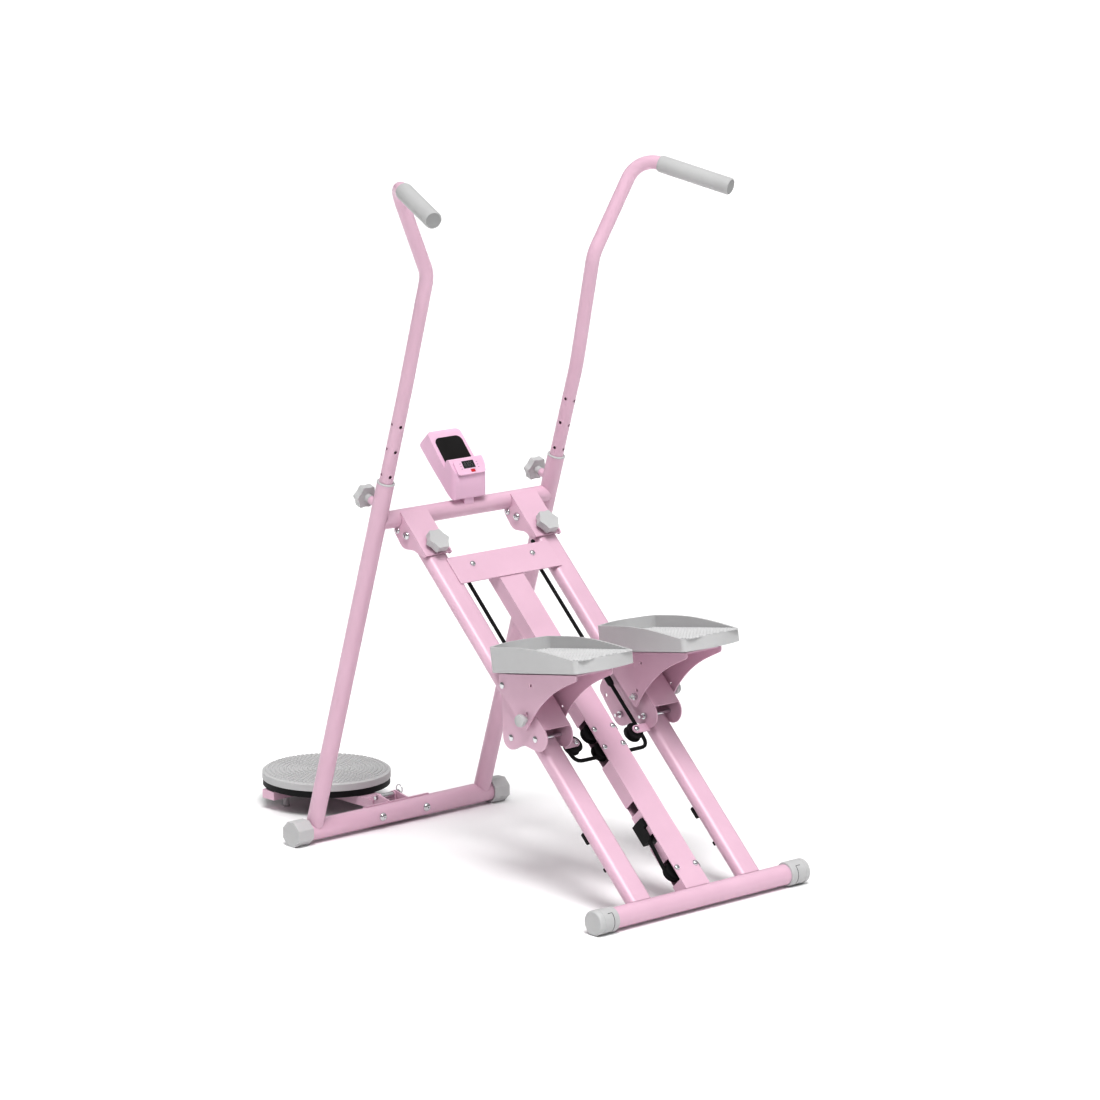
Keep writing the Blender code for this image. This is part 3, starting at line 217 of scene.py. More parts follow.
def turn_to(direction, place):
    """Matrix that stands local +Z along a direction at a place."""
    return Matrix.Translation(place) @ direction.to_track_quat("Z", "Y").to_matrix().to_4x4()


# ---------------------------------------------------------------- looks
FINE = 2                        # how much finer the skins are than the CAD
SKY_STRENGTH = 0.88
HORIZON = 0.22
KEY_POWER = 2.2
KEY_AIM = Vector((0.25, 0.35, -0.90))
KEY_SPREAD = radians(25)
SIDE_POWER = 16.0
SIDE_PLACE = Vector((-2.6, -5.0, 3.6))
SIDE_AIM = Vector((0.0, 0.0, 0.6))
SIDE_SIZE = 2.2
FLOOR_HALF = 150.0
FILM_WIDTH = 36.0
CONTRAST = 0.77                 # display gamma
CAMERA_LENS = 151.27
CAMERA_REACH = 400.0            # beyond the floor's far edge
CAMERA_PLACE = (-6.4975, -6.5850, 2.6054)
CAMERA_LOOK = Vector((0.6650, 0.7207, -0.1960))
HOLES_NEAR = (0.9577, 0.9019, 0.8466)
HOLES_SIDE = (0.9636, 0.9092, 0.8516)
NUB_N = 0.0179                  # small nub beside each bracket, off the rails
TREAD_PITCH = 0.0098
TREAD_WAVE = 0.0200
TREAD_HEIGHT = 0.0022
NUB_PITCH = 0.0104
NUB_DEEP = 0.0034
NUB_WIDE = 0.0044
# bars of a digit: middle and size; then the ones left dark, by digit and bar
SEGMENTS = ((0.0, 0.0042, 0.0028, 0.0006), (0.0, 0.0, 0.0028, 0.0006),
            (0.0, -0.0042, 0.0028, 0.0006), (-0.0018, 0.0021, 0.0006, 0.0030),
            (0.0018, 0.0021, 0.0006, 0.0030), (-0.0018, -0.0021, 0.0006, 0.0030),
            (0.0018, -0.0021, 0.0006, 0.0030))
SEGMENTS_OFF = {(1, 3), (1, 5), (2, 1), (3, 4), (3, 5)}
EDGES = {                       # edge rounding of each kind of piece
    "front_cap": 0.0012, "bracket": 0.0007, "bracket_knob": 0.0016, "handle_knob": 0.0016,
    "centre_beam": 0.0009, "top_plate": 0.0007, "tension_block": 0.0010, "carriage": 0.0006,
    "pedal_support": 0.0006, "pedal": 0.0012, "console_case": 0.0022,
    "console_button": 0.0006, "disc_arm": 0.0009, "disc_bracket": 0.0006,
}
ROPE_BLENDS = {                 # body that moves one end, and the ends of the blend to the ladder
    "rope_left": ("carriage_left", on_rail(-0.106, 0.43, ROPE_N), on_rail(-0.106, 0.84, ROPE_N)),
    "rope_right": ("carriage_right", on_rail(0.106, 0.43, ROPE_N), on_rail(0.106, 0.84, ROPE_N)),
}
CROSS_BLENDS = {
    "rope_across_left": (on_rail(-0.067, 0.37, ROPE_N), on_rail(-0.043, 0.37, ROPE_N)),
    "rope_across_right": (on_rail(0.067, 0.37, ROPE_N), on_rail(0.043, 0.37, ROPE_N)),
}
FITTINGS = {}
CUTTER_NAMES = []
PIECES = bpy.context.scene.collection


def node(tree, kind, **settings):
    """New shader node with its inputs set."""
    made = tree.nodes.new("ShaderNode" + kind)
    for socket, value in settings.items():
        made.inputs[socket.replace("_", " ")].default_value = value
    return made


def set_ramp(ramp, *stops):
    """Moves a colour ramp's two stops, each given as position and colour."""
    for element, (position, color) in zip(ramp.color_ramp.elements, stops):
        element.position = position
        element.color = (*color, 1.0)


def grained(name, dark, light, roughness, grain, relief, metallic=0.0, patch=9.0):
    """Material of two close shades in soft patches, with fine grain in gloss and relief."""
    mat = bpy.data.materials.new(name)
    mat.use_nodes = True
    tree = mat.node_tree
    shader = tree.nodes["Principled BSDF"]
    shader.inputs["Metallic"].default_value = metallic
    where = node(tree, "TexCoord")
    broad = node(tree, "TexNoise", Scale=patch, Detail=4.0)
    shades = node(tree, "ValToRGB")
    set_ramp(shades, (0.35, dark), (0.68, light))
    fine = node(tree, "TexNoise", Scale=grain, Detail=3.0)
    gloss = node(tree, "MapRange", To_Min=roughness - 0.07, To_Max=roughness + 0.07)
    bump = node(tree, "Bump", Strength=relief, Distance=0.0003)
    for source, output, target, socket in (
            (where, "Object", broad, "Vector"), (where, "Object", fine, "Vector"),
            (broad, "Fac", shades, "Fac"), (shades, "Color", shader, "Base Color"),
            (fine, "Fac", gloss, "Value"), (gloss, "Result", shader, "Roughness"),
            (fine, "Fac", bump, "Height"), (bump, "Normal", shader, "Normal")):
        tree.links.new(source.outputs[output], target.inputs[socket])
    return mat


def ribbed(name, dark, light, roughness, pitch, relief, direction="DIAGONAL"):
    """Grained material with a woven or twisted ribbing on top of the grain."""
    mat = grained(name, dark, light, roughness, 900.0, 0.1)
    nodes = mat.node_tree.nodes
    links = mat.node_tree.links
    where = nodes["Texture Coordinate"]
    wave = node(mat.node_tree, "TexWave", Scale=pitch, Distortion=0.4)
    wave.bands_direction = direction
    bump = node(mat.node_tree, "Bump", Strength=relief, Distance=0.0006)
    links.new(where.outputs["Object"], wave.inputs["Vector"])
    links.new(wave.outputs["Fac"], bump.inputs["Height"])
    links.new(nodes["Bump"].outputs["Normal"], bump.inputs["Normal"])
    links.new(bump.outputs["Normal"], nodes["Principled BSDF"].inputs["Normal"])
    return mat


PAINT = grained("pink_paint", (0.690, 0.480, 0.577), (0.716, 0.504, 0.602), 0.34, 1400.0, 0.10)
CASE = grained("lilac_plastic", (0.750, 0.515, 0.648), (0.780, 0.542, 0.676), 0.42, 1800.0, 0.12)
PLASTIC = grained("grey_plastic", (0.520, 0.520, 0.522), (0.555, 0.555, 0.557), 0.50, 2200.0, 0.22)
FOAM = grained("foam_grip", (0.500, 0.500, 0.500), (0.535, 0.535, 0.535), 0.66, 2600.0, 0.55)
# darker grey of the grips' end faces: painted shade, for end faces turned away from the light
PAINTED_END_SHADE = grained("grip_end", (0.340, 0.340, 0.342), (0.375, 0.375, 0.377), 0.60, 2400.0, 0.30)
TREAD = grained("grey_tread", (0.560, 0.560, 0.562), (0.600, 0.600, 0.602), 0.46, 2200.0, 0.15)
RUBBER = grained("black_plastic", (0.008, 0.008, 0.009), (0.013, 0.013, 0.014), 0.50, 1500.0, 0.25)
ROPE = ribbed("black_rope", (0.006, 0.006, 0.007), (0.014, 0.014, 0.015), 0.70, 150.0, 0.8)
ZINC = grained("bright_zinc", (0.600, 0.600, 0.615), (0.720, 0.720, 0.735), 0.17, 700.0, 0.08,
               metallic=1.0, patch=60.0)
RED = grained("red_button", (0.560, 0.020, 0.030), (0.640, 0.030, 0.040), 0.32, 900.0, 0.05)
PAD = ribbed("phone_pad", (0.011, 0.010, 0.010), (0.022, 0.019, 0.020), 0.62, 260.0, 0.5)
GLASS = grained("display_glass", (0.026, 0.027, 0.029), (0.038, 0.039, 0.042), 0.16, 400.0, 0.0)
LCD = grained("display_marks", (0.120, 0.125, 0.125), (0.160, 0.165, 0.165), 0.40, 400.0, 0.0)
MARK = grained("panel_marks", (0.300, 0.200, 0.260), (0.340, 0.230, 0.290), 0.50, 400.0, 0.0)
SHADE = grained("seam_shadow", (0.020, 0.020, 0.021), (0.035, 0.035, 0.036), 0.60, 900.0, 0.1)
for black in (RUBBER, ROPE, PAD):
    black.node_tree.nodes["Principled BSDF"].inputs["Specular IOR Level"].default_value = 0.30
FLOOR = grained("studio_floor", (0.935, 0.935, 0.935), (0.945, 0.945, 0.945), 0.70, 40.0, 0.0)


def put(name, mesh, mat, matrix=None):
    """New piece; one that stands for a CAD node takes its name with _skin."""
    if name in frame["nodes"]:
        name += "_skin"
    obj = bpy.data.objects.new(name, mesh)
    obj.matrix_world = matrix or Matrix.Identity(4)
    mesh.materials.clear()
    mesh.materials.append(mat)
    PIECES.objects.link(obj)
    bpy.context.view_layer.update()
    return obj


def smooth(obj, angle=radians(35)):
    """Shades a piece smooth apart from its sharp edges."""
    obj.data.shade_smooth()
    obj.data.set_sharp_from_angle(angle=angle)
    return obj


def mesh_from(bm, name):
    """Mesh made from a bmesh, which is freed."""
    mesh = bpy.data.meshes.new(name)
    bmesh.ops.recalc_face_normals(bm, faces=bm.faces)
    bm.to_mesh(mesh)
    bm.free()
    return mesh


def curve_to_mesh(curve, lines, closed):
    """Welded mesh of a curve with one straight-edged spline along each list of places."""
    for line in lines:
        spline = curve.splines.new("POLY")
        spline.points.add(len(line) - 1)
        for point, place in zip(spline.points, line):
            point.co = (*place, 1.0)
        spline.use_cyclic_u = closed
    curve_obj = bpy.data.objects.new(curve.name + "_curve", curve)
    PIECES.objects.link(curve_obj)
    bpy.context.view_layer.update()
    graph = bpy.context.evaluated_depsgraph_get()
    mesh = bpy.data.meshes.new_from_object(curve_obj.evaluated_get(graph))
    bm = bmesh.new()
    bm.from_mesh(mesh)
    bmesh.ops.remove_doubles(bm, verts=bm.verts, dist=1e-6)
    bmesh.ops.recalc_face_normals(bm, faces=bm.faces)
    bm.to_mesh(mesh)
    bm.free()
    bpy.data.objects.remove(curve_obj, do_unlink=True)
    return mesh


def flat_plate(name, outlines, thickness, mat, matrix):
    """Flat sheet: the first outline is its edge, and the others are holes."""
    curve = bpy.data.curves.new(name, "CURVE")
    curve.dimensions = "2D"
    curve.fill_mode = "BOTH"
    curve.extrude = thickness / 2.0
    lines = [[(px, py, 0.0) for px, py in outline] for outline in outlines]
    return put(name, curve_to_mesh(curve, lines, True), mat, matrix)


def box(name, size, mat, matrix):
    """Box of the given size, centred on the matrix."""
    bm = bmesh.new()
    bmesh.ops.create_cube(bm, size=1.0)
    bmesh.ops.scale(bm, vec=size, verts=bm.verts)
    return put(name, mesh_from(bm, name), mat, matrix)


def rail_box(name, size, mat, x, s, n):
    """Box centred on a place out, up and off the rails."""
    return box(name, size, mat, rail_top(n) @ Matrix.Translation((x, s, 0)))


def rod(name, start, end, radius, mat, segments=16):
    """Plain round bar between two places."""
    bm = bmesh.new()
    length = (end - start).length
    bmesh.ops.create_cone(
        bm, cap_ends=True, segments=FINE * segments, radius1=radius, radius2=radius, depth=length
    )
    obj = put(name, mesh_from(bm, name), mat, turn_to(end - start, (start + end) / 2.0))
    return smooth(obj)


def turned(name, profile, mat, matrix, steps=24, closed=False):
    """Profile of (radius, height) points turned about local Z, outer side top to bottom."""
    mesh = bpy.data.meshes.new(name)
    verts = [(r, 0.0, z) for r, z in profile]
    edges = [(i, i + 1) for i in range(len(verts) - 1)]
    if closed:
        edges.append((len(verts) - 1, 0))
    mesh.from_pydata(verts, edges, [])
    obj = put(name, mesh, mat, matrix)
    screw = obj.modifiers.new("turn", "SCREW")
    screw.axis = "Z"
    screw.steps = FINE * steps
    screw.render_steps = FINE * steps
    screw.use_merge_vertices = True
    screw.merge_threshold = 1e-5
    return obj


def turned_between(name, profile, mat, start, end, steps):
    """Smooth turned piece that stands on one place and points at another."""
    return smooth(turned(name, profile, mat, turn_to(end - start, start), steps))


def pipe(name, start, end, outer, inner, mat, steps=24):
    """Open-ended tube between two places."""
    length = (end - start).length
    profile = [(inner, length), (outer, length), (outer, 0.0), (inner, 0.0)]
    return turned(name, profile, mat, turn_to(end - start, start), steps, closed=True)


def bent_tube(name, points, radius, mat, sides=3):
    """Round bar swept along a list of places, with filled ends."""
    curve = bpy.data.curves.new(name, "CURVE")
    curve.dimensions = "3D"
    curve.bevel_depth = radius
    curve.bevel_resolution = FINE * sides
    curve.use_fill_caps = True
    return put(name, curve_to_mesh(curve, [points], False), mat)


def as_cutter(obj):
    """Hides a piece that only shapes another, and notes it for removal."""
    obj.hide_render = True
    obj.display_type = "WIRE"
    CUTTER_NAMES.append(obj.name)
    return obj


def combine(base, others, operation):
    """Adds the Boolean modifiers for a list of other pieces."""
    for other in others:
        modifier = base.modifiers.new(operation.lower(), "BOOLEAN")
        modifier.operation = operation
        modifier.solver = "EXACT"
        modifier.object = as_cutter(other)
    return base


def cut(base, *cutters):
    """Takes the cutters away from a piece."""
    return combine(base, cutters, "DIFFERENCE")


def join(base, *others):
    """Unites other pieces with a piece."""
    return combine(base, others, "UNION")


def rounded(obj, width, segments=2):
    """Rounds the sharp edges of a piece."""
    bevel = obj.modifiers.new("round", "BEVEL")
    bevel.width = width
    bevel.segments = segments
    bevel.limit_method = "ANGLE"
    bevel.angle_limit = radians(40)
    return obj


# ---------------------------------------------------------------- outlines
def arc(cx, cy, radius, start, end, count):
    """Points along an arc, with both ends, angles in radians."""
    count = FINE * (count - 1) + 1
    step = (end - start) / (count - 1)
    return [(cx + radius * cos(start + step * i), cy + radius * sin(start + step * i))
            for i in range(count)]


def circle(cx, cy, radius, count=8):
    """Hole outline that clears a round bar of the given radius."""
    total = 3 * count
    return [(cx + radius * cos(2.0 * pi * i / total), cy + radius * sin(2.0 * pi * i / total))
            for i in range(total)]


def ring_of(stops, step=radians(24)):
    """Outline that runs anticlockwise round stops (x, y, radius) joined by tangent lines.

    A positive radius is a rounded corner, a negative one a hollow, and zero a sharp corner.
    """
    def facing(a, b):
        dx = b[0] - a[0]
        dy = b[1] - a[1]
        return atan2(dy, dx) - acos((a[2] - b[2]) / hypot(dx, dy))

    points = []
    for i, stop in enumerate(stops):
        before = facing(stops[i - 1], stop)
        after = facing(stop, stops[(i + 1) % len(stops)])
        x, y, radius = stop
        if radius == 0.0:
            points.append((x, y))
            continue
        turn = (after - before) % (2.0 * pi)
        if radius < 0.0:
            turn -= 2.0 * pi
        count = max(2, int(abs(turn) / step) + 2)
        points += arc(x, y, radius, before, before + turn, count)
    return points


def oval(width, depth, inset=0.0, count=9):
    """Flat-sided oval, long across x."""
    radius = depth / 2.0 - inset
    reach = width / 2.0 - depth / 2.0
    right = arc(reach, 0.0, radius, -pi / 2.0, pi / 2.0, count)
    left = arc(-reach, 0.0, radius, pi / 2.0, 1.5 * pi, count)
    return right + left


def star(radius, lobes=6, count=12):
    """Knob outline with blunt points and hollow sides between them."""
    points = []
    total = lobes * count
    for i in range(total):
        angle = 2.0 * pi * i / total
        hollow = sqrt(sin(lobes * angle / 2.0) ** 2 + 0.012) - 0.11
        reach = radius * (1.0 - 0.20 * hollow)
        points.append((reach * cos(angle), reach * sin(angle)))
    return points


def smooth_bend(corner, before, after, radius, count=7):
    """Points of a rounded corner between two straight runs."""
    d_in = (corner - before).normalized()
    d_out = (after - corner).normalized()
    count = FINE * count
    half = d_in.angle(d_out) / 2.0
    reach = radius * tan(half)
    start = corner - d_in * reach
    inward = (d_out - d_in).normalized()
    centre = corner + inward * (radius / cos(half))
    axis = d_in.cross(d_out).normalized()
    spoke = start - centre
    return [centre + Matrix.Rotation(2.0 * half * i / (count - 1), 3, axis) @ spoke
            for i in range(count)]


# ---------------------------------------------------------------- fixed frame
def make_uprights():
    """Leaning tubes with a screw boss and a collar at the top of each."""
    for side, sign in SIDES:
        foot = on_post(sign * UPRIGHT_X, 0.0)
        top = on_post(sign * UPRIGHT_X, UPRIGHT_LENGTH)
        post = pipe("upright_" + side, foot, top, UPRIGHT_RADIUS, UPRIGHT_BORE, PAINT)
        notch = rod("notch_foot_" + side, foot - X_AXIS * 0.05, foot + X_AXIS * 0.05,
                    FRONT_BAR_RADIUS + 2 * GAP, PAINT, 24)
        boss_at = on_post(sign * UPRIGHT_X, KNOB_ALONG)
        screw_hole = rod("screw_hole_" + side, boss_at, boss_at + OFF_POST * 0.03, 0.0045, PAINT)
        boss = turned("screw_boss_" + side,
                      [(0.0045, 0.034), (0.0085, 0.034), (0.0095, 0.016), (0.0045, 0.016)],
                      PAINT, turn_to(OFF_POST, boss_at), 12, closed=True)
        bushing = turned("collar_" + side,
                         [(HANDLE_RADIUS + 0.0005, 0.0035), (0.0182, 0.0035), (0.0197, 0.002),
                          (0.0197, GAP), (HANDLE_RADIUS + 0.0005, GAP)],
                         PLASTIC, turn_to(UP_POST, top), 20, closed=True)
        smooth(bushing)
        cut(post, notch)
        join(post, boss)
        cut(post, screw_hole)
        smooth(post)


def make_front_bar():
    """Round floor bar with an eight-sided cap at each end."""
    ends = Vector((FRONT_BAR_HALF - 0.004, 0.0, 0.0))
    smooth(pipe("front_bar", FRONT_BAR - ends, FRONT_BAR + ends,
                FRONT_BAR_RADIUS, FRONT_BAR_RADIUS - 0.002, PAINT, 24))
    for side, sign in SIDES:
        outer = FRONT_CAP_FLATS / 2.0 / cos(pi / 8.0)
        eighth = [(outer * cos(pi / 8.0 + i * pi / 4.0), outer * sin(pi / 8.0 + i * pi / 4.0))
                  for i in range(8)]
        middle = FRONT_BAR_HALF - FRONT_CAP_LENGTH / 2.0
        place = FRONT_BAR + X_AXIS * sign * middle
        frame = basis(Vector((0, sign, 0)), Vector((0, 0, 1)), X_AXIS * sign, place)
        cap = flat_plate("front_cap_" + side, [eighth], FRONT_CAP_LENGTH, PLASTIC, frame)
        bore_end = FRONT_BAR + X_AXIS * sign * (FRONT_BAR_HALF - 0.004 + GAP)
        bore_start = FRONT_BAR + X_AXIS * sign * (middle - FRONT_CAP_LENGTH)
        cut(cap, rod("bore_cap_" + side, bore_start, bore_end,
                     FRONT_BAR_RADIUS + 2 * GAP, PLASTIC, 24))


def make_crossbar():
    """Tube between the uprights, coped to them."""
    ends = Vector((UPRIGHT_X, 0.0, 0.0))
    middle = on_post(0.0, CROSSBAR_ALONG)
    bar = pipe("crossbar", middle - ends, middle + ends, UPRIGHT_RADIUS, 0.017, PAINT)
    for side, sign in SIDES:
        low = on_post(sign * UPRIGHT_X, CROSSBAR_ALONG - 0.05)
        high = on_post(sign * UPRIGHT_X, CROSSBAR_ALONG + 0.05)
        cut(bar, rod("cope_" + side, low, high, UPRIGHT_RADIUS + 2 * GAP, PAINT, 24))
    smooth(bar)


def crossbar_on_rail():
    """The crossbar's centre as distances up and off the rails."""
    offset = on_post(0.0, CROSSBAR_ALONG) - REAR_BAR
    return offset.dot(UP_RAIL), offset.dot(OFF_RAIL)


def bracket_outline(bar_s, bar_n, roof):
    """Side view of a bracket, as distances up and off the rails."""
    return ring_of([
        (bar_s, bar_n, 0.0),
        (bar_s, roof, 0.0),
        (0.9075, roof, 0.0),
        (0.9100, 0.010, 0.002),
        (0.9300, -0.0195, -0.016),
        (PIVOT_S - 0.002, -0.005, 0.026),
        (bar_s - 0.020, bar_n - 0.016, 0.0075),
    ])


def make_brackets():
    """Folded brackets over the rail ends, coped to the crossbar, and their knobs."""
    bar_s, bar_n = crossbar_on_rail()
    roof = bar_n + UPRIGHT_RADIUS + GAP + PLATE
    outline = bracket_outline(bar_s, bar_n, roof)
    holes = [circle(PIVOT_S, RAIL_N, 0.0042), circle(*CLAMP_BOLT, 0.0032)]
    bar_centre = on_post(0.0, CROSSBAR_ALONG)
    for side, sign in SIDES:
        low = min(sign * CARRIAGE_INNER, sign * CARRIAGE_OUTER)
        high = max(sign * CARRIAGE_INNER, sign * CARRIAGE_OUTER)
        bracket = flat_plate("bracket_" + side, [outline] + holes, PLATE, PAINT,
                             rail_side(low + PLATE / 2.0))
        other = flat_plate("bracket_wall_" + side, [outline] + holes, PLATE, PAINT,
                           rail_side(high - PLATE / 2.0))
        middle = (low + high) / 2.0
        web_length = bar_s - 0.9075
        web = rail_box("bracket_web_" + side, (high - low, web_length, PLATE), PAINT,
                       middle, bar_s - web_length / 2.0, roof - PLATE / 2.0)
        screw_at = on_rail(sign * RAIL_X, BRACKET_KNOB_S, roof)
        hole = rod("web_hole_" + side, screw_at - OFF_RAIL * 0.01, screw_at + OFF_RAIL * 0.01,
                   0.0045, PAINT)
        cope = rod("bracket_cope_" + side, bar_centre + X_AXIS * (low - 0.01),
                   bar_centre + X_AXIS * (high + 0.01), UPRIGHT_RADIUS + 2 * GAP, PAINT, 24)
        join(bracket, other, web)
        cut(bracket, hole, cope)
        star_knob("bracket_knob_" + side, on_rail(sign * RAIL_X, BRACKET_KNOB_S, roof),
                  OFF_RAIL, 0.008, roof - (RAIL_N + RAIL_DEPTH / 2.0) - GAP)


def bolt(name, start, end, radius, head):
    """Bolt with a low domed head at each end, standing just clear of the faces it clamps."""
    length = (end - start).length
    dome = 0.62 * head
    profile = [(0.0, length + dome), (head, length + 0.35 * dome), (head, length + GAP),
               (radius, length + GAP), (radius, -GAP), (head, -GAP),
               (head, -0.35 * dome), (0.0, -dome)]
    return turned_between(name, profile, ZINC, start, end, 12)


def star_knob(name, base, direction, stand_off, reach):
    """Six-lobed hand knob whose screw reaches down through its base by the given length."""
    frame = turn_to(direction, base)
    thick = 0.016
    centre = stand_off + thick / 2.0
    knob = flat_plate(name, [star(0.0268)], thick, PLASTIC,
                      frame @ Matrix.Translation((0, 0, centre)))
    stem = turned(name + "_stem", [(0.0, stand_off + 0.002), (0.009, stand_off + 0.002),
                                   (0.009, GAP), (0.004, GAP), (0.004, -reach), (0.0, -reach)],
                  PLASTIC, frame, 10)
    join(knob, stem)
    smooth(knob)
    return knob


def make_lock_knobs():
    """Knobs that lock the handles in the uprights."""
    for side, sign in SIDES:
        boss_end = on_post(sign * UPRIGHT_X, KNOB_ALONG, 0.034)
        star_knob("handle_knob_" + side, boss_end, OFF_POST, 0.012,
                  0.034 - HANDLE_RADIUS - GAP)


# ---------------------------------------------------------------- handles
def handle_route(sign):
    """Places along the bent handle tube, from its lower end to its grip end."""
    low = on_post(sign * UPRIGHT_X, UPRIGHT_LENGTH - HANDLE_INSERTED)
    elbow = from_rear(sign * HANDLE_ELBOW[0], HANDLE_ELBOW[1], HANDLE_ELBOW[2])
    crown = from_rear(sign * HANDLE_CROWN[0], HANDLE_CROWN[1], HANDLE_CROWN[2])
    end = from_rear(sign * GRIP_END[0], GRIP_END[1], GRIP_END[2])
    kink = on_post(sign * UPRIGHT_X, HANDLE_KINK)
    points = [low]
    points += smooth_bend(kink, low, elbow, 0.8, 4)
    points += smooth_bend(elbow, kink, crown, 0.07, 5)
    points += smooth_bend(crown, elbow, end, 0.055, 9)
    points.append(end - (end - crown).normalized() * 0.004)
    return points, crown, end


def handle_holes(side, sign):
    """Cutters for the two rows of height holes, one facing the user and one facing sideways."""
    cutters = []
    rows = ((Vector((0.258 * sign, -0.966, 0.0)), HOLES_NEAR),
            (Vector((-0.966, -0.260 * sign, 0.0)), HOLES_SIDE))
    for facing, heights in rows:
        for z in heights:
            centre = on_post(sign * UPRIGHT_X, (z - FRONT_BAR_Z) / cos(LEAN))
            cutters.append(rod("hole_" + side, centre - facing * 0.022, centre + facing * 0.022,
                               0.0034, PAINT, 10))
    return cutters


def make_handles():
    """Bent handle tubes with their rows of holes."""
    for side, sign in SIDES:
        points, crown, end = handle_route(sign)
        tube = bent_tube("handle_" + side, points, HANDLE_RADIUS, PAINT, 5)
        below = points[0] - UP_POST * 0.02
        short_of_end = points[-1] - (end - crown).normalized() * 0.004
        bore = bent_tube("handle_bore_" + side, [below] + points[1:-1] + [short_of_end],
                         HANDLE_BORE, PAINT, 3)
        cut(tube, bore, *handle_holes(side, sign))


# ---------------------------------------------------------------- console
def console_profile():
    """Side view: a wedge with a raised panel at the front and a phone rest behind it."""
    return ring_of([
        (0.7120, 0.7715, 0.004),
        (0.7240, 0.7800, 0.004),
        (0.8150, 0.8790, 0.009),
        (0.8010, 0.8945, 0.009),
        (0.7388, 0.8385, -0.0025),
        (0.7290, 0.8470, 0.006),
        (0.7075, 0.8175, 0.005),
    ], radians(30))


def make_console():
    """Console case with its stalk and its button."""
    wide = 0.096
    case = flat_plate("console_case", [console_profile()], wide, CASE, upright_plane(0.0))
    front = ring_of([(-0.044, -0.02, 0.004), (0.044, -0.02, 0.004),
                     (0.039, 0.100, 0.009), (0.030, 0.1415, 0.0165),
                     (-0.030, 0.1415, 0.0165), (-0.039, 0.100, 0.009)], radians(12))
    back_dir = Vector((0.0, 0.697, 0.717))
    face_dir = Vector((0.0, -0.717, 0.697))
    frame = basis(X_AXIS, back_dir, face_dir, from_rear(0.0, 0.714, 0.770))
    trim = flat_plate("console_trim", [front], 0.16, CASE, frame)
    plan = ring_of([(-0.0330, 0.7200, 0.0150), (0.0330, 0.7200, 0.0150),
                    (0.0470, 0.8400, 0.0010), (-0.0470, 0.8400, 0.0010)], radians(12))
    nose = flat_plate("console_nose", [plan], 0.40, CASE,
                      Matrix.Translation(from_rear(0.0, 0.0, 0.83)))
    combine(case, [trim, nose], "INTERSECT")
    stalk = box("console_stalk", (0.027, 0.016, 0.030), CASE,
                Matrix.Translation(from_rear(0.0, 0.721, 0.767)))
    middle = on_post(0.0, CROSSBAR_ALONG)
    saddle = rod("console_saddle", middle - X_AXIS * 0.06, middle + X_AXIS * 0.06,
                 UPRIGHT_RADIUS + 2 * GAP, CASE, 24)
    join(case, stalk)
    cut(case, saddle)
    cut(case, box("button_pocket", (0.0124, 0.0074, 0.008), CASE, button_frame(0.0)))
    smooth(case)
    box("console_button", (0.0112, 0.0062, 0.005), RED, button_frame(-0.0002))


def button_frame(depth):
    """Frame on the console's panel: local z out of the panel."""
    low = Vector((0.0, 0.7025, 0.8205))
    high = Vector((0.0, 0.7242, 0.8505))
    up = (high - low).normalized()
    out = X_AXIS.cross(up).normalized()
    place = from_rear(0.005, 0.7070, 0.8267) + out * depth
    return basis(X_AXIS, up, out, place)


# ---------------------------------------------------------------- sloping ladder
def make_rear_bar():
    """Round floor bar at the foot of the ladder."""
    ends = Vector((REAR_BAR_HALF - 0.004, 0.0, 0.0))
    smooth(pipe("rear_bar", REAR_BAR - ends, REAR_BAR + ends,
                REAR_BAR_RADIUS, REAR_BAR_RADIUS - 0.002, PAINT, 24))


def make_rails():
    """Oval rails, coped to the rear bar."""
    for side, sign in SIDES:
        end = PIVOT_S + RAIL_OVERHANG
        centre = basis(X_AXIS, OFF_RAIL, -UP_RAIL, on_rail(sign * RAIL_X, end / 2.0, RAIL_N))
        rail = flat_plate("rail_" + side,
                          [oval(RAIL_WIDTH, RAIL_DEPTH),
                           oval(RAIL_WIDTH, RAIL_DEPTH, RAIL_WALL)], end, PAINT, centre)
        bar = rod("rail_cope_" + side, REAR_BAR + X_AXIS * (sign * RAIL_X - 0.05),
                  REAR_BAR + X_AXIS * (sign * RAIL_X + 0.05), REAR_BAR_RADIUS + 2 * GAP, PAINT, 24)
        across = rod("rail_pin_hole_" + side, on_rail(sign * RAIL_X - 0.05, PIVOT_S, RAIL_N),
                     on_rail(sign * RAIL_X + 0.05, PIVOT_S, RAIL_N), 0.0042, PAINT)
        cut(rail, bar, across)
        smooth(rail)


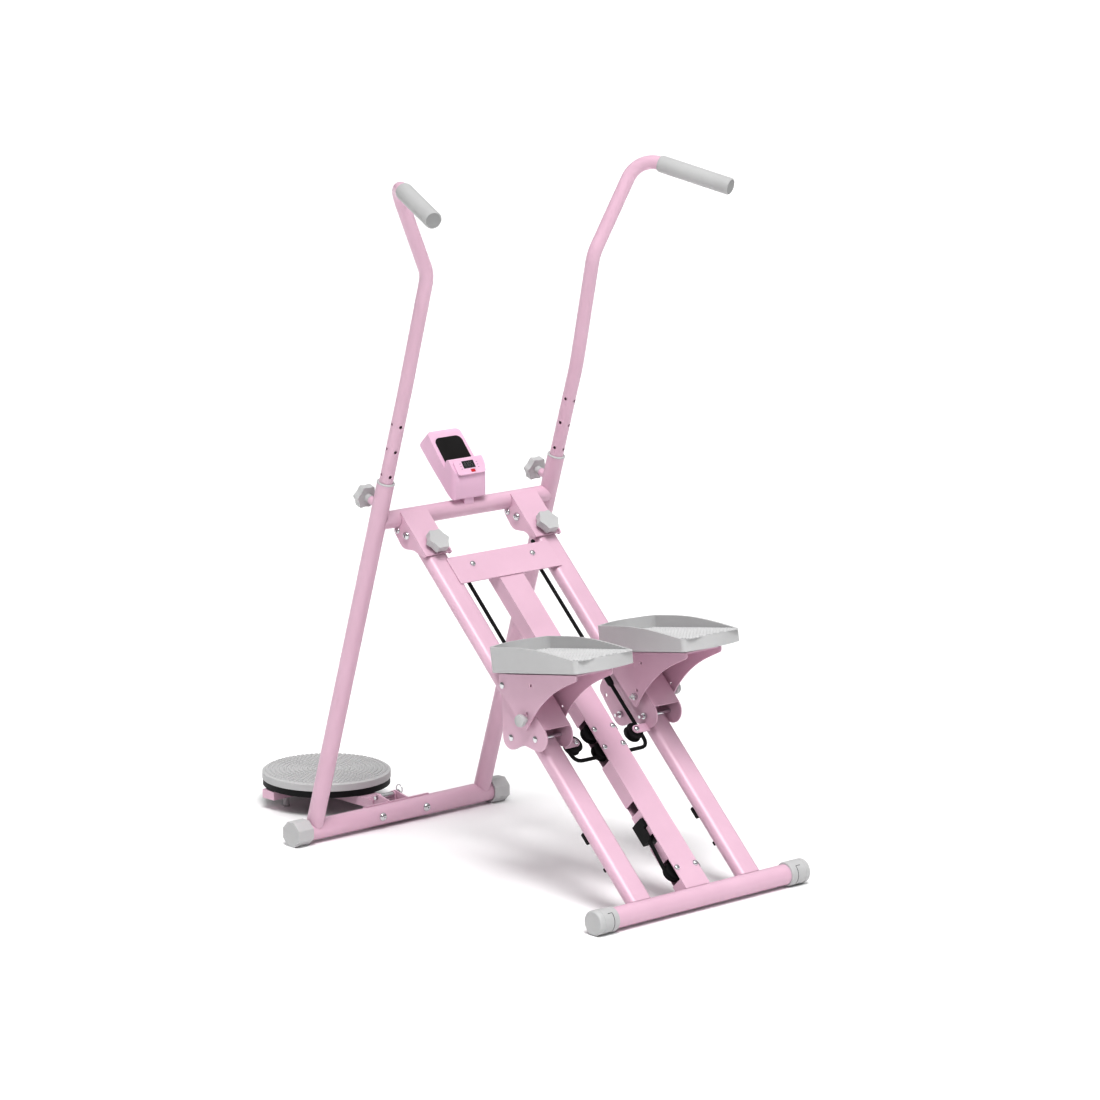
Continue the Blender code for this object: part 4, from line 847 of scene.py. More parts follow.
def make_beam():
    """Upside-down channel with windows in both side walls and notches in the left one."""
    w = BEAM_HALF
    t = BEAM_WALL
    section = [(-w, BEAM_BOTTOM), (-w + t, BEAM_BOTTOM), (-w + t, BEAM_TOP - t),
               (w - t, BEAM_TOP - t), (w - t, BEAM_BOTTOM), (w, BEAM_BOTTOM),
               (w, BEAM_TOP), (-w, BEAM_TOP)]
    middle = basis(X_AXIS, OFF_RAIL, -UP_RAIL, on_rail(0.0, BEAM_END / 2.0, 0.0))
    beam = flat_plate("centre_beam", [section], BEAM_END, PAINT, middle)
    bar = rod("beam_cope", REAR_BAR - X_AXIS * 0.05, REAR_BAR + X_AXIS * 0.05,
              REAR_BAR_RADIUS + 2 * GAP, PAINT, 24)
    cutters = [bar]
    for name, spans, wide, x in (("beam_window", BEAM_WINDOWS, 0.09, 0),
                                 ("beam_notch", BLOCK_NOTCHES, 0.04, -BEAM_HALF)):
        for low, high in spans:
            cutters.append(rail_box(name, (wide, high - low, 0.036), PAINT,
                                    x, (low + high) / 2.0, -0.008))
    cutters.append(rail_box("rope_slot", (0.02, 0.016, 0.010), PAINT,
                            BEAM_HALF, BLOCK_SPAN[0] - 0.005, ROPE_N))
    for sign in (-1.0, 1.0):
        for s in (UPPER_ROLLER_S, LOWER_ROLLER_S, BOTTOM_PULLEY_S):
            cutters.append(rod("axle_hole", on_rail(sign * ROLLER_X, s, BEAM_TOP - 0.006),
                               on_rail(sign * ROLLER_X, s, BEAM_TOP + 0.006), 0.0032, PAINT))
    cut(beam, *cutters)


def make_top_plate():
    """Cross plate on the rails and the beam, with a turned-down upper flange."""
    low = BEAM_TOP + GAP
    plate = rail_box("top_plate", (0.290, 0.068, 0.0025), PAINT, 0, 0.861, low + 0.00125)
    flange = rail_box("top_flange", (0.254, 0.0025, 0.030), PAINT, 0, 0.89375, low - 0.0125)
    x, s = TOP_PULLEY
    holes = [rod("top_axle_hole", on_rail(sign * x, s, low - 0.004),
                 on_rail(sign * x, s, low + 0.008), 0.0032, PAINT) for sign in (-1.0, 1.0)]
    join(plate, flange)
    cut(plate, *holes)


def pulley(name, x, s, top):
    """Grooved pulley whose axle bolt stands up through a plate whose upper face is at top."""
    half = PULLEY_THICK / 2.0
    r = PULLEY_RADIUS
    g = PULLEY_GROOVE
    stem = 0.003
    head = top - ROPE_N
    profile = [(0.0, head), (stem, head), (stem, half + 0.0010), (0.0080, half + 0.0010),
               (0.0082, half - 0.0010), (r - 0.0035, half - 0.0012), (r - 0.0025, half),
               (r - 0.0006, half - 0.0002), (r, half - 0.0010), (r, 0.0062), (g + 0.0010, 0.0044),
               (g, 0.0030), (g, -0.0030), (g + 0.0010, -0.0044), (r, -0.0062),
               (r, 0.0010 - half), (r - 0.0006, 0.0002 - half), (r - 0.0025, -half),
               (0.0, -half)]
    frame = turn_to(OFF_RAIL, on_rail(x, s, ROPE_N))
    wheel = smooth(turned(name, profile, RUBBER, frame, 16))
    return wheel


def make_ladder_pulleys():
    """Top pulleys, upper beam rollers and bottom pulleys."""
    for side, sign in SIDES:
        x, s = TOP_PULLEY
        pulley("top_pulley_" + side, sign * x, s, TOP_PLATE_ROOF)
        pulley("beam_roller_" + side, sign * ROLLER_X, UPPER_ROLLER_S, BEAM_TOP)
        pulley("bottom_pulley_" + side, sign * ROLLER_X, BOTTOM_PULLEY_S, BEAM_TOP)


def make_tension_block():
    """Block that hooks into one of the beam's notches and holds the rope's ends."""
    low, high = BLOCK_SPAN
    long = high - low
    middle = (low + high) / 2.0
    body = rail_box("tension_block", (0.080, long, 0.029), RUBBER, 0, middle, -0.0125)
    cutters = [rail_box("block_groove", (BEAM_WALL + 0.001, long + 0.02, 0.030), RUBBER,
                        sign * (BEAM_HALF - BEAM_WALL / 2.0), middle, -0.0055)
               for sign in (-1.0, 1.0)]
    cutters.append(rail_box("block_channel", (0.034, long + 0.02, 0.020), RUBBER,
                            0, middle, -0.001))
    cut(body, *cutters)
    s_low, s_high = BLOCK_NOTCHES[1]
    join(body, rail_box("block_hook", (0.020, s_high - s_low - 0.002, 0.026), RUBBER,
                        -0.030, (s_low + s_high) / 2.0, -0.0050))


# ---------------------------------------------------------------- ropes
def rope_places(flat):
    """World places of points given as distance out and distance up the rails."""
    return [on_rail(x, s, ROPE_N) for x, s in flat]


def make_top_rope():
    """One piece of rope over both top pulleys, ending level with their centres."""
    x, s = TOP_PULLEY
    left = arc(-x, s, ROPE_TURN, pi, pi / 2.0, 7)
    right = arc(x, s, ROPE_TURN, pi / 2.0, 0.0, 7)
    start = [(-x - ROPE_TURN, s - 0.006)]
    end = [(x + ROPE_TURN, s - 0.006)]
    bent_tube("rope_top", rope_places(start + left + right + end), ROPE_RADIUS, ROPE, 2)


def make_side_ropes():
    """Each side's run from a top pulley to a carriage pulley, and its way across the beam."""
    for side, sign in SIDES:
        x_low = CARRIAGE_PULLEY[0] + ROPE_TURN
        x_high = TOP_PULLEY[0] + ROPE_TURN
        high = TOP_PULLEY[1] - 0.006 - GAP
        low = CARRIAGE_PULLEY[1]
        count = 24
        run = []
        for i in range(count):
            share = i / (count - 1)
            run.append((x_high + (x_low - x_high) * share, high + (low - high) * share))
        cross = [(x_low, low - 0.0002), (x_low, 0.3980), (x_low, 0.3900), (0.1052, 0.3825),
                 (0.1022, 0.3752), (0.0968, 0.3700), (0.0900, 0.3678)]
        cross += [(0.0830 - 0.0070 * i, 0.3672) for i in range(7)]
        cross += [(0.0345, 0.3655), (0.0265, 0.3630), (0.0190, 0.3645), (0.0125, 0.3690)]
        for name, flat in (("rope_" + side, run), ("rope_across_" + side, cross)):
            line = bent_tube(name, rope_places([(sign * px, ps) for px, ps in flat]),
                             ROPE_RADIUS, ROPE, 2)
        fitting(line, "carriage_" + side, "black_rope")


def make_beam_rope():
    """Rope inside the beam: from the block round both bottom pulleys and up to the rollers."""
    for side, sign in SIDES:
        turn = arc(sign * ROLLER_X, BOTTOM_PULLEY_S, ROPE_TURN,
                   pi if sign < 0 else 0.0, 2.0 * pi if sign < 0 else -pi, 11)
        inner_x = sign * (ROLLER_X - ROPE_TURN)
        flat = [(sign * 0.0372, BLOCK_SPAN[0] - GAP)]
        flat += turn
        flat += [(inner_x, 0.200), (inner_x, 0.3765 - GAP)]
        bent_tube("rope_beam_" + side, rope_places(flat), ROPE_RADIUS, ROPE, 2)


# ---------------------------------------------------------------- carriages
def carriage_outline(inner):
    """Side plate of a carriage: a pivot end, two rounded feet and a straight roof edge."""
    stops = [
        (0.425, 0.0255, 0.029),
        (0.422, -0.0320, -0.020),
        (0.473, -0.0420, 0.0245),
    ]
    if inner:
        stops.append((0.540, -0.0420, 0.018))
    stops += [
        (TILT_PIVOT[0], TILT_PIVOT[1], 0.019),
        (0.532, CARRIAGE_ROOF, 0.0),
    ]
    return ring_of(stops, radians(30))


def pin_slot():
    """Curved slot for the lock pin, concentric with the tilt pivot."""
    px, py = TILT_PIVOT
    dx = LOCK_PIN[0] - px
    dy = LOCK_PIN[1] - py
    reach = hypot(dx, dy)
    middle = atan2(dy, dx)
    first = middle - TILT_UP - radians(0.3)
    last = middle + TILT_DOWN + radians(0.3)
    half = 0.0045
    points = arc(px, py, reach + half, first, last, 4)
    end = (px + reach * cos(last), py + reach * sin(last))
    points += arc(end[0], end[1], half, last, last + pi, 4)[1:-1]
    points += arc(px, py, reach - half, last, first, 4)
    start = (px + reach * cos(first), py + reach * sin(first))
    points += arc(start[0], start[1], half, first + pi, first + 2.0 * pi, 4)[1:-1]
    return points


def make_carriages():
    """Carriages with their guide rods, under-rollers and pulleys."""
    for side, sign in SIDES:
        holes = [circle(*TILT_PIVOT, 0.0042), circle(*GUIDE_ROD, 0.0042),
                 circle(*UNDER_ROLLER, 0.0042), pin_slot()]
        inner_hole = circle(0.530, -0.050, 0.004)
        outer = flat_plate("carriage_" + side, [carriage_outline(False)] + holes, PLATE, PAINT,
                           rail_side(sign * (CARRIAGE_OUTER - PLATE / 2.0)))
        inner = flat_plate("carriage_inner_" + side,
                           [carriage_outline(True)] + holes + [inner_hole], PLATE, PAINT,
                           rail_side(sign * (CARRIAGE_INNER + PLATE / 2.0)))
        web_low = 0.425
        web_high = 0.532
        web = rail_box("carriage_web_" + side,
                       (CARRIAGE_OUTER - CARRIAGE_INNER, web_high - web_low, PLATE), PAINT,
                       sign * RAIL_X, (web_low + web_high) / 2.0, CARRIAGE_ROOF - PLATE / 2.0)
        x, s = CARRIAGE_PULLEY
        reach = CARRIAGE_INNER + 0.0015 - x
        tab_edge = ring_of([(0.0, 0.0, 0.0095), (reach, -0.0095, 0.0), (reach, 0.0095, 0.0)])
        tab_frame = basis(X_AXIS * sign, UP_RAIL * sign, OFF_RAIL,
                          on_rail(sign * x, s, TAB_TOP - PLATE / 2.0))
        tab = flat_plate("carriage_tab_" + side, [tab_edge, circle(0.0, 0.0, 0.0032)],
                         PLATE, PAINT, tab_frame)
        join(outer, inner, web, tab)
        pulley("carriage_pulley_" + side, sign * x, s, TAB_TOP)
        low = on_rail(sign * CARRIAGE_OUTER, *GUIDE_ROD)
        high = on_rail(sign * CARRIAGE_INNER, *GUIDE_ROD)
        guide_rod("guide_rod_" + side, low, high)
        under_roller("rail_roller_" + side, sign)


def threaded_end(length, reach=0.018, head=0.0068):
    """Profile of a thread that stands out past a nut, down to the face it clamps."""
    return [(0.0, length + reach), (0.0035, length + reach), (0.0035, length + 0.006),
            (head, length + 0.006), (head, length + GAP)]


def guide_rod(name, start, end):
    """Bright rod over the rail, stepped down to a bolt thread in both side plates."""
    length = (end - start).length
    body = 0.005
    head = 0.0068
    profile = threaded_end(length) + [
        (0.004, length + GAP), (0.004, length - PLATE - GAP), (body, length - PLATE - GAP),
        (body, PLATE + GAP), (0.004, PLATE + GAP), (0.004, -GAP), (head, -GAP),
        (head, -0.0015), (0.0, -0.0045)]
    return turned_between(name, profile, ZINC, start, end, 12)


def under_roller(name, sign):
    """Flanged roller under the rail, with its bolt."""
    start = on_rail(sign * CARRIAGE_OUTER, *UNDER_ROLLER)
    end = on_rail(sign * CARRIAGE_INNER, *UNDER_ROLLER)
    length = (end - start).length
    rail_low = RAIL_N - RAIL_DEPTH / 2.0
    body = rail_low - UNDER_ROLLER[1] - 0.0004
    flange = body + 0.003
    inset = PLATE + 0.0008
    head = 0.0068
    profile = threaded_end(length) + [
        (0.0038, length + GAP), (0.0038, length - inset), (flange, length - inset),
        (flange, length - inset - 0.0015), (body, length - inset - 0.018),
        (body, inset + 0.018), (flange, inset + 0.0015), (flange, inset), (0.0038, inset),
        (0.0038, -GAP), (head, -GAP), (head, -0.0015), (0.0, -0.0045)]
    return turned_between(name, profile, ZINC, start, end, 20)


# ---------------------------------------------------------------- pedals
def support_outline():
    """Side cheek under a pedal: level top, hollow rear edge and a point at the lock pin."""
    return ring_of([
        (*SUPPORT_TOE, 0.0),
        (*SUPPORT_HEEL, 0.0),
        (0.1590, 0.4945, 0.0085),
        (0.0760, 0.2440, -0.2530),
        (0.3060, 0.3660, 0.0070),
        (0.3810, 0.4360, 0.0060),
    ], radians(10))


def level_point(flat):
    """A point up and off the rails, as distances from the rear bar level and from the floor."""
    place = on_rail(0.0, flat[0], flat[1])
    return place.y - BAR_Y, place.z


def make_pedals():
    """Tilting supports with their trays, pivot bolts and lock pins."""
    pivot = level_point(TILT_PIVOT)
    pin = level_point(LOCK_PIN)
    holes = [circle(*pivot, 0.0042), circle(*pin, 0.0045), circle(0.301, 0.3955, 0.003),
             circle(0.289, 0.457, 0.003)]
    for side, sign in SIDES:
        support = flat_plate("pedal_support_" + side, [support_outline()] + holes, PLATE,
                             PAINT, upright_plane(sign * (SUPPORT_OUTER - PLATE / 2.0)))
        inner = flat_plate("support_inner_" + side, [support_outline()] + holes, PLATE,
                           PAINT, upright_plane(sign * (SUPPORT_INNER + PLATE / 2.0)))
        middle_y = (SUPPORT_TOE[0] + 0.1560) / 2.0
        middle_z = (SUPPORT_TOE[1] + 0.5004) / 2.0
        roof_length = hypot(SUPPORT_TOE[0] - 0.1560, 0.5004 - SUPPORT_TOE[1])
        heel_up = Matrix.Rotation(-PEDAL_PITCH, 4, "X")
        roof = box("support_roof_" + side, (SUPPORT_OUTER - SUPPORT_INNER, roof_length, PLATE),
                   PAINT, Matrix.Translation(from_rear(sign * (SUPPORT_OUTER + SUPPORT_INNER)
                                                       / 2.0, middle_y, middle_z - 0.0015))
                   @ heel_up)
        join(support, inner, roof)
        pedal_tray("pedal_" + side, sign)
        bolt("pedal_pivot_" + side,
             on_rail(sign * SUPPORT_OUTER, *TILT_PIVOT),
             on_rail(sign * SUPPORT_INNER, *TILT_PIVOT), 0.004, 0.0068)
        lock_pin("lock_pin_" + side, sign)


def lock_pin(name, sign):
    """Long pin through both cheeks with a round grey knob outside and a nut inside."""
    start = on_rail(sign * SUPPORT_OUTER, *LOCK_PIN)
    end = on_rail(sign * SUPPORT_INNER, *LOCK_PIN)
    length = (end - start).length
    profile = threaded_end(length, 0.016) + [
        (0.004, length + GAP), (0.004, -GAP), (0.0065, -GAP), (0.0065, -0.008),
        (0.0125, -0.010), (0.0138, -0.015), (0.0125, -0.020), (0.0, -0.0245)]
    return turned_between(name, profile, PLASTIC, start, end, 16)


def tray_outline():
    """Sole outline with local x across and local y from heel to toe."""
    half = PEDAL_HALF
    return ring_of([
        (-half + 0.012, 0.024, 0.012),
        (0.0, 0.150, 0.150),
        (half - 0.012, 0.024, 0.012),
        (half - 0.022, 0.262, 0.022),
        (0.0, 0.200, 0.101),
        (-half + 0.022, 0.262, 0.022),
    ], radians(12))


def pedal_frame(sign):
    """Frame of a pedal's sole, from its heel."""
    heel = from_rear(sign * PEDAL_X, 0.1080, 0.5148)
    return Matrix.Translation(heel) @ Matrix.Rotation(-PEDAL_PITCH, 4, "X")


def pedal_tray(name, sign):
    """Foot tray whose side walls rise from nothing at the heel to full height at the toe."""
    frame = pedal_frame(sign)
    outline = tray_outline()
    tray = flat_plate(name, [outline], 0.060, PLASTIC, frame @ Matrix.Translation((0, 0, 0.030)))
    rim = []
    for i in range(13):
        along = RIM_START + (PEDAL_LENGTH - RIM_START) * i / 12.0
        share = min(1.0, (along - RIM_START) / RIM_RISE_LENGTH)
        rim.append((along, SOLE_THICK + 0.0005 + RIM_RISE * sin(share * pi / 2.0)))
    side_view = [(-0.02, SOLE_THICK + 0.0005)] + rim + [(0.34, rim[-1][1]), (0.34, 0.12),
                                                       (-0.02, 0.12)]
    side_frame = frame @ basis(Vector((0, 1, 0)), Vector((0, 0, 1)), X_AXIS, Vector((0, 0, 0)))
    above = flat_plate(name + "_above", [side_view], 0.30, PLASTIC, side_frame)
    inset = ring_of([
        (-PEDAL_HALF + 0.017, -0.040, 0.012), (PEDAL_HALF - 0.017, -0.040, 0.012),
        (PEDAL_HALF - 0.024, 0.259, 0.018), (0.0, 0.200, 0.095),
        (-PEDAL_HALF + 0.024, 0.259, 0.018),
    ], radians(12))
    well = flat_plate(name + "_well", [inset], 0.060, PLASTIC,
                      frame @ Matrix.Translation((0, 0, SOLE_THICK + 0.030)))
    cut(tray, above, well)
    return smooth(tray)


# ---------------------------------------------------------------- twist disc
def make_disc():
    """Twist disc, the ring under it and its flat arm."""
    centre = from_rear(0.0, DISC_ALONG, 0.0)
    r = DISC_RADIUS
    top = [(0.0, DISC_TOP), (r - 0.004, DISC_TOP), (r, DISC_TOP - 0.003),
           (r, 0.0610), (r - 0.012, 0.0605), (0.0, 0.0605)]
    smooth(turned("disc_top", top, PLASTIC, Matrix.Translation(centre), 48))
    base = [(0.0, 0.0600), (r - 0.0015, 0.0600), (r - 0.0015, 0.0470), (r - 0.006, 0.0450),
            (0.0, 0.0450)]
    smooth(turned("disc_base", base, RUBBER, Matrix.Translation(centre), 48))
    arm_high = 0.0450 - GAP
    arm_start = DISC_PIN_ALONG + 0.016
    arm_end = DISC_ALONG + 0.075
    arm = box("disc_arm", (0.052, arm_end - arm_start, arm_high - ARM_LOW), PAINT,
              Matrix.Translation(from_rear(0.0, (arm_start + arm_end) / 2.0,
                                           (ARM_LOW + arm_high) / 2.0)))
    spread = box("disc_spreader", (0.280, 0.040, arm_high - ARM_LOW), PAINT,
                 Matrix.Translation(from_rear(0.0, DISC_FOOT_ALONG, (ARM_LOW + arm_high) / 2.0)))
    wall = 0.0025
    hollow = box("disc_arm_hollow", (0.052 - 2 * wall, 0.40, arm_high - ARM_LOW), PAINT,
                 Matrix.Translation(from_rear(0.0, DISC_ALONG - 0.03,
                                              (ARM_LOW + arm_high) / 2.0 - wall)))
    knuckles = []
    for sign in (-1.0, 1.0):
        ear = ring_of([(DISC_PIN_ALONG, DISC_PIN_Z, 0.008),
                       (DISC_PIN_ALONG - 0.002, 0.034, 0.008),
                       (DISC_PIN_ALONG + 0.034, ARM_LOW + 0.001, 0.001),
                       (DISC_PIN_ALONG + 0.034, arm_high - 0.001, 0.001)])
        hole = circle(DISC_PIN_ALONG, DISC_PIN_Z, 0.0048, 12)
        knuckles.append(flat_plate("disc_knuckle", [ear, hole], 0.004, PAINT,
                                   upright_plane(sign * 0.0205)))
    join(arm, spread)
    cut(arm, hollow)
    join(arm, *knuckles)
    make_disc_bracket()


def make_disc_bracket():
    """Saddle plate on the front bar with two ears for the disc arm's pin."""
    outline = ring_of([
        (BAR_SPREAD, FRONT_BAR_Z, FRONT_BAR_RADIUS + 0.0045),
        (DISC_PIN_ALONG, DISC_PIN_Z, 0.009),
    ])
    holes = [circle(DISC_PIN_ALONG, DISC_PIN_Z, 0.0048, 12),
             circle(BAR_SPREAD, FRONT_BAR_Z, FRONT_BAR_RADIUS + 0.0011, 20)]
    ears = [flat_plate("disc_ear", [outline] + holes, 0.004, PAINT, upright_plane(sign * 0.0260))
            for sign in (-1.0, 1.0)]
    bracket = turned("disc_bracket", [(FRONT_BAR_RADIUS + GAP, 0.090),
                                      (FRONT_BAR_RADIUS + 0.003, 0.090),
                                      (FRONT_BAR_RADIUS + 0.003, -0.090),
                                      (FRONT_BAR_RADIUS + GAP, -0.090)],
                     PAINT, turn_to(X_AXIS, FRONT_BAR), 20, closed=True)
    front_half = box("saddle_trim", (0.20, 0.060, 0.060), PAINT,
                     Matrix.Translation(FRONT_BAR - Vector((0.0, 0.030, 0.0))))
    floor = box("saddle_floor", (0.20, 0.08, 0.010), PAINT,
                Matrix.Translation(FRONT_BAR - Vector((0, 0, FRONT_BAR_RADIUS + 0.004))))
    join(bracket, *ears)
    cut(bracket, front_half, floor)
    smooth(bracket)
    start = from_rear(0.0365, DISC_PIN_ALONG, DISC_PIN_Z)
    end = from_rear(-0.034, DISC_PIN_ALONG, DISC_PIN_Z)
    length = (end - start).length
    profile = [(0.0, length), (0.0042, length - 0.0008), (0.0042, 0.0035), (0.0085, 0.0035),
               (0.0085, 0.0005), (0.0070, 0.0), (0.0, 0.0)]
    turned_between("disc_pin", profile, ZINC, start, end, 16)


# ---------------------------------------------------------------- grips, caps and covers
def make_grip_skins():
    """Foam grips with a moulded end ring, and a darker disc on each end face that is painted shade."""
    for side, sign in SIDES:
        crown, end = handle_route(sign)[1:]
        along = (end - crown).normalized()
        long = GRIP_LENGTH
        inner = HANDLE_RADIUS + GAP
        profile = [(0.0, long - 0.0010), (0.0158, long - 0.0010), (0.0162, long - 0.0001),
                   (0.0168, long - 0.0006), (0.0185, long - 0.0030),
                   (0.0185, 0.006), (0.0180, 0.002), (0.0168, 0.0),
                   (inner, 0.0), (inner, long - 0.004 + GAP), (0.0, long - 0.004 + GAP)]
        turned("grip_" + side, profile, FOAM, turn_to(along, end - along * long), 24)
        # the darker disc on the end face is painted shade, drawn darker than the foam
        disc = turned("grip_disc_" + side, [(0.0, 0.0005), (0.0150, 0.0005), (0.0152, 0.0), (0.0, 0.0)],
                      PAINTED_END_SHADE, turn_to(along, end - along * 0.0010), 24)
        fitting(disc, "handle_" + side, "foam_grip")


def make_rear_cap_skins():
    """Rear caps with the seams of a moulded window."""
    for side, sign in SIDES:
        r = REAR_CAP_RADIUS
        seam = r - 0.0007
        inner = REAR_BAR_RADIUS + GAP
        long = 0.054
        profile = [(0.0, long - 0.0006), (r - 0.006, long - 0.0006), (r - 0.0045, long),
                   (r - 0.0025, long - 0.0004), (r - 0.0006, long - 0.0022), (r, long - 0.0045),
                   (r, long - 0.0120), (r - 0.0007, long - 0.0126), (r - 0.0007, long - 0.0134),
                   (r, long - 0.0140), (r, 0.0035), (r - 0.001, 0.001), (r - 0.003, 0.0),
                   (inner, 0.0), (inner, long - 0.004 + GAP), (0.0, long - 0.004 + GAP)]
        start = REAR_BAR + X_AXIS * sign * (REAR_BAR_HALF - long)
        turned("rear_cap_" + side, profile, PLASTIC, turn_to(X_AXIS * sign, start), 32)
        for face in (pi, 0.0):
            places = []
            for x, angle in window_line(face):
                places.append(REAR_BAR + Vector((sign * x, cos(angle) * seam, sin(angle) * seam)))
            line = bent_tube("cap_seam_" + side + ("_back" if face == pi else "_front"),
                             places, 0.0010, SHADE, 1)
            fitting(line, "ladder", "black_plastic")


def window_line(face):
    """Three sides of the window moulded in a rear cap, as distance out and angle round it."""
    low = face - radians(48)
    high = face + radians(48)
    turn = [(0.2665, low + (high - low) * i / 16) for i in range(17)]
    return [(0.2785, low)] + turn + [(0.2785, high)]


# ---------------------------------------------------------------- bolts and small fittings
def dome_bolt(name, body, place, direction, radius=0.0066):
    """Domed bolt head with a socket in its top."""
    high = 0.66 * radius
    profile = [(0.0, high - 0.0016), (0.0017, high - 0.0016), (0.0019, high),
               (0.42 * radius, high - 0.0001), (0.70 * radius, 0.83 * high),
               (0.90 * radius, 0.55 * high), (radius, 0.20 * high), (radius, 0.0), (0.0, 0.0)]
    head = turned(name, profile, ZINC, turn_to(direction, place), 10)
    return fitting(head, body, "bright_zinc")


def make_bolts():
    """Bolt heads, nuts, nubs and the plate's plug."""
    for side, sign in SIDES:
        nut = turned("lock_nut_" + side, [(0.0, 0.0066), (0.0062, 0.0066), (0.0074, 0.0058),
                                          (0.0074, 0.0002), (0.0, 0.0002)], ZINC,
                     turn_to(X_AXIS * -sign, on_rail(sign * SUPPORT_INNER, *LOCK_PIN)), 6)
        fitting(nut, "lock_pin_" + side, "bright_zinc")
        x, s = TOP_PULLEY
        dome_bolt("top_bolt_" + side, "top_pulley_" + side,
                  on_rail(sign * x, s, TOP_PLATE_ROOF + GAP), OFF_RAIL)
        for place, s in (("roller", UPPER_ROLLER_S), ("guide", LOWER_ROLLER_S),
                         ("foot", BOTTOM_PULLEY_S)):
            dome_bolt("beam_bolt_" + place + "_" + side, "ladder",
                      on_rail(sign * ROLLER_X, s, BEAM_TOP), OFF_RAIL)
        x, s = CARRIAGE_PULLEY
        dome_bolt("tab_bolt_" + side, "carriage_pulley_" + side,
                  on_rail(sign * x, s, TAB_TOP + GAP), OFF_RAIL)
        for x, out in ((CARRIAGE_INNER, -sign), (CARRIAGE_OUTER, sign)):
            where = "inner" if x == CARRIAGE_INNER else "outer"
            face = sign * x
            dome_bolt("bracket_pivot_" + where + "_" + side, "frame",
                      on_rail(face, PIVOT_S, RAIL_N), X_AXIS * out, 0.0090)
            dome_bolt("bracket_clamp_" + where + "_" + side, "frame",
                      on_rail(face, *CLAMP_BOLT), X_AXIS * out, 0.0070)
        dome_bolt("front_bolt_" + side, "frame",
                  from_rear(sign * 0.064, BAR_SPREAD - FRONT_BAR_RADIUS + 0.0004, 0.0290),
                  Vector((0.0, -1.0, 0.0)), 0.0095)
        nub = turned("bracket_nub_" + side,
                     [(0.0, 0.0062), (0.0020, 0.0062), (0.0027, 0.0054), (0.0027, 0.0), (0.0, 0.0)],
                     PAINT, turn_to(OFF_RAIL, on_rail(sign * RAIL_X + 0.0300, 0.9125, NUB_N)), 10)
        fitting(nub, "frame", "pink_paint")
    plug = turned("plate_plug",
                  [(0.0, 0.0042), (0.0030, 0.0042), (0.0046, 0.0028), (0.0046, 0.0), (0.0, 0.0)],
                  RUBBER, turn_to(OFF_RAIL, on_rail(0.1115, 0.9010, 0.0090)), 10)
    fitting(plug, "ladder", "black_plastic")


def make_beam_floor():
    """Sheet that closes the beam's open side above and below the tension block."""
    for place, low, high in (("upper", 0.204, 0.872), ("lower", 0.026, 0.148)):
        size = (2.0 * (BEAM_HALF - BEAM_WALL) - 0.0006, high - low, 0.0010)
        sheet = rail_box("beam_floor_" + place, size, PAINT, 0.0, (low + high) / 2.0,
                         BEAM_BOTTOM + 0.0012)
        fitting(sheet, "ladder", "pink_paint")


def make_rail_stops():
    """Black buffers under the rails that the under-rollers come down to."""
    low = RAIL_N - RAIL_DEPTH / 2.0
    for side, sign in SIDES:
        for place, s, long, deep in (("upper", 0.198, 0.026, 0.0085), ("lower", 0.117, 0.009, 0.004)):
            block = rail_box("rail_stop_" + place + "_" + side, (0.046, long, deep), RUBBER,
                             sign * RAIL_X, s, low - deep / 2.0 - 0.0001)
            rounded(block, 0.0015, 3)
            fitting(block, "ladder", "black_plastic")


def make_rope_fitting():
    """Sleeve on the right-hand rope."""
    clamp = turned("rope_clamp", [(0.0, 0.018), (0.0045, 0.018), (0.0072, 0.014), (0.0072, -0.012),
                                  (0.0055, -0.018), (0.0, -0.018)], RUBBER,
                   turn_to(UP_RAIL, on_rail(CARRIAGE_PULLEY[0] + ROPE_TURN, 0.545, ROPE_N)), 14)
    fitting(clamp, "carriage_right", "black_plastic")


def make_lower_rollers():
    """Rollers below the upper pair in the beam."""
    for side, sign in SIDES:
        profile = [(0.0, 0.0080), (0.0185, 0.0080), (0.0195, 0.0070), (0.0112, 0.0036),
                   (0.0112, -0.0036), (0.0195, -0.0070), (0.0185, -0.0080), (0.0, -0.0080)]
        wheel = turned("guide_roller_" + side, profile, RUBBER,
                       turn_to(OFF_RAIL, on_rail(sign * ROLLER_X, LOWER_ROLLER_S, ROPE_N)), 18)
        fitting(wheel, "ladder", "black_plastic")


# ---------------------------------------------------------------- console details
def panel_at(x, up, out):
    """Frame on the control panel, measured from its middle."""
    frame_there = button_frame(0.0)
    middle = from_rear(0.0, 0.71335, 0.8355)
    place = middle + X_AXIS * x + frame_there.col[1].xyz * up + frame_there.col[2].xyz * out
    return basis(X_AXIS, frame_there.col[1].xyz, frame_there.col[2].xyz, place)


def rounded_plate(name, half_x, half_y, radius, thick, mat, matrix):
    """Flat plate with round corners."""
    corner_x = half_x - radius
    corner_y = half_y - radius
    outline = ring_of([(-corner_x, -corner_y, radius), (corner_x, -corner_y, radius),
                       (corner_x, corner_y, radius), (-corner_x, corner_y, radius)])
    return flat_plate(name, [outline], thick, mat, matrix)


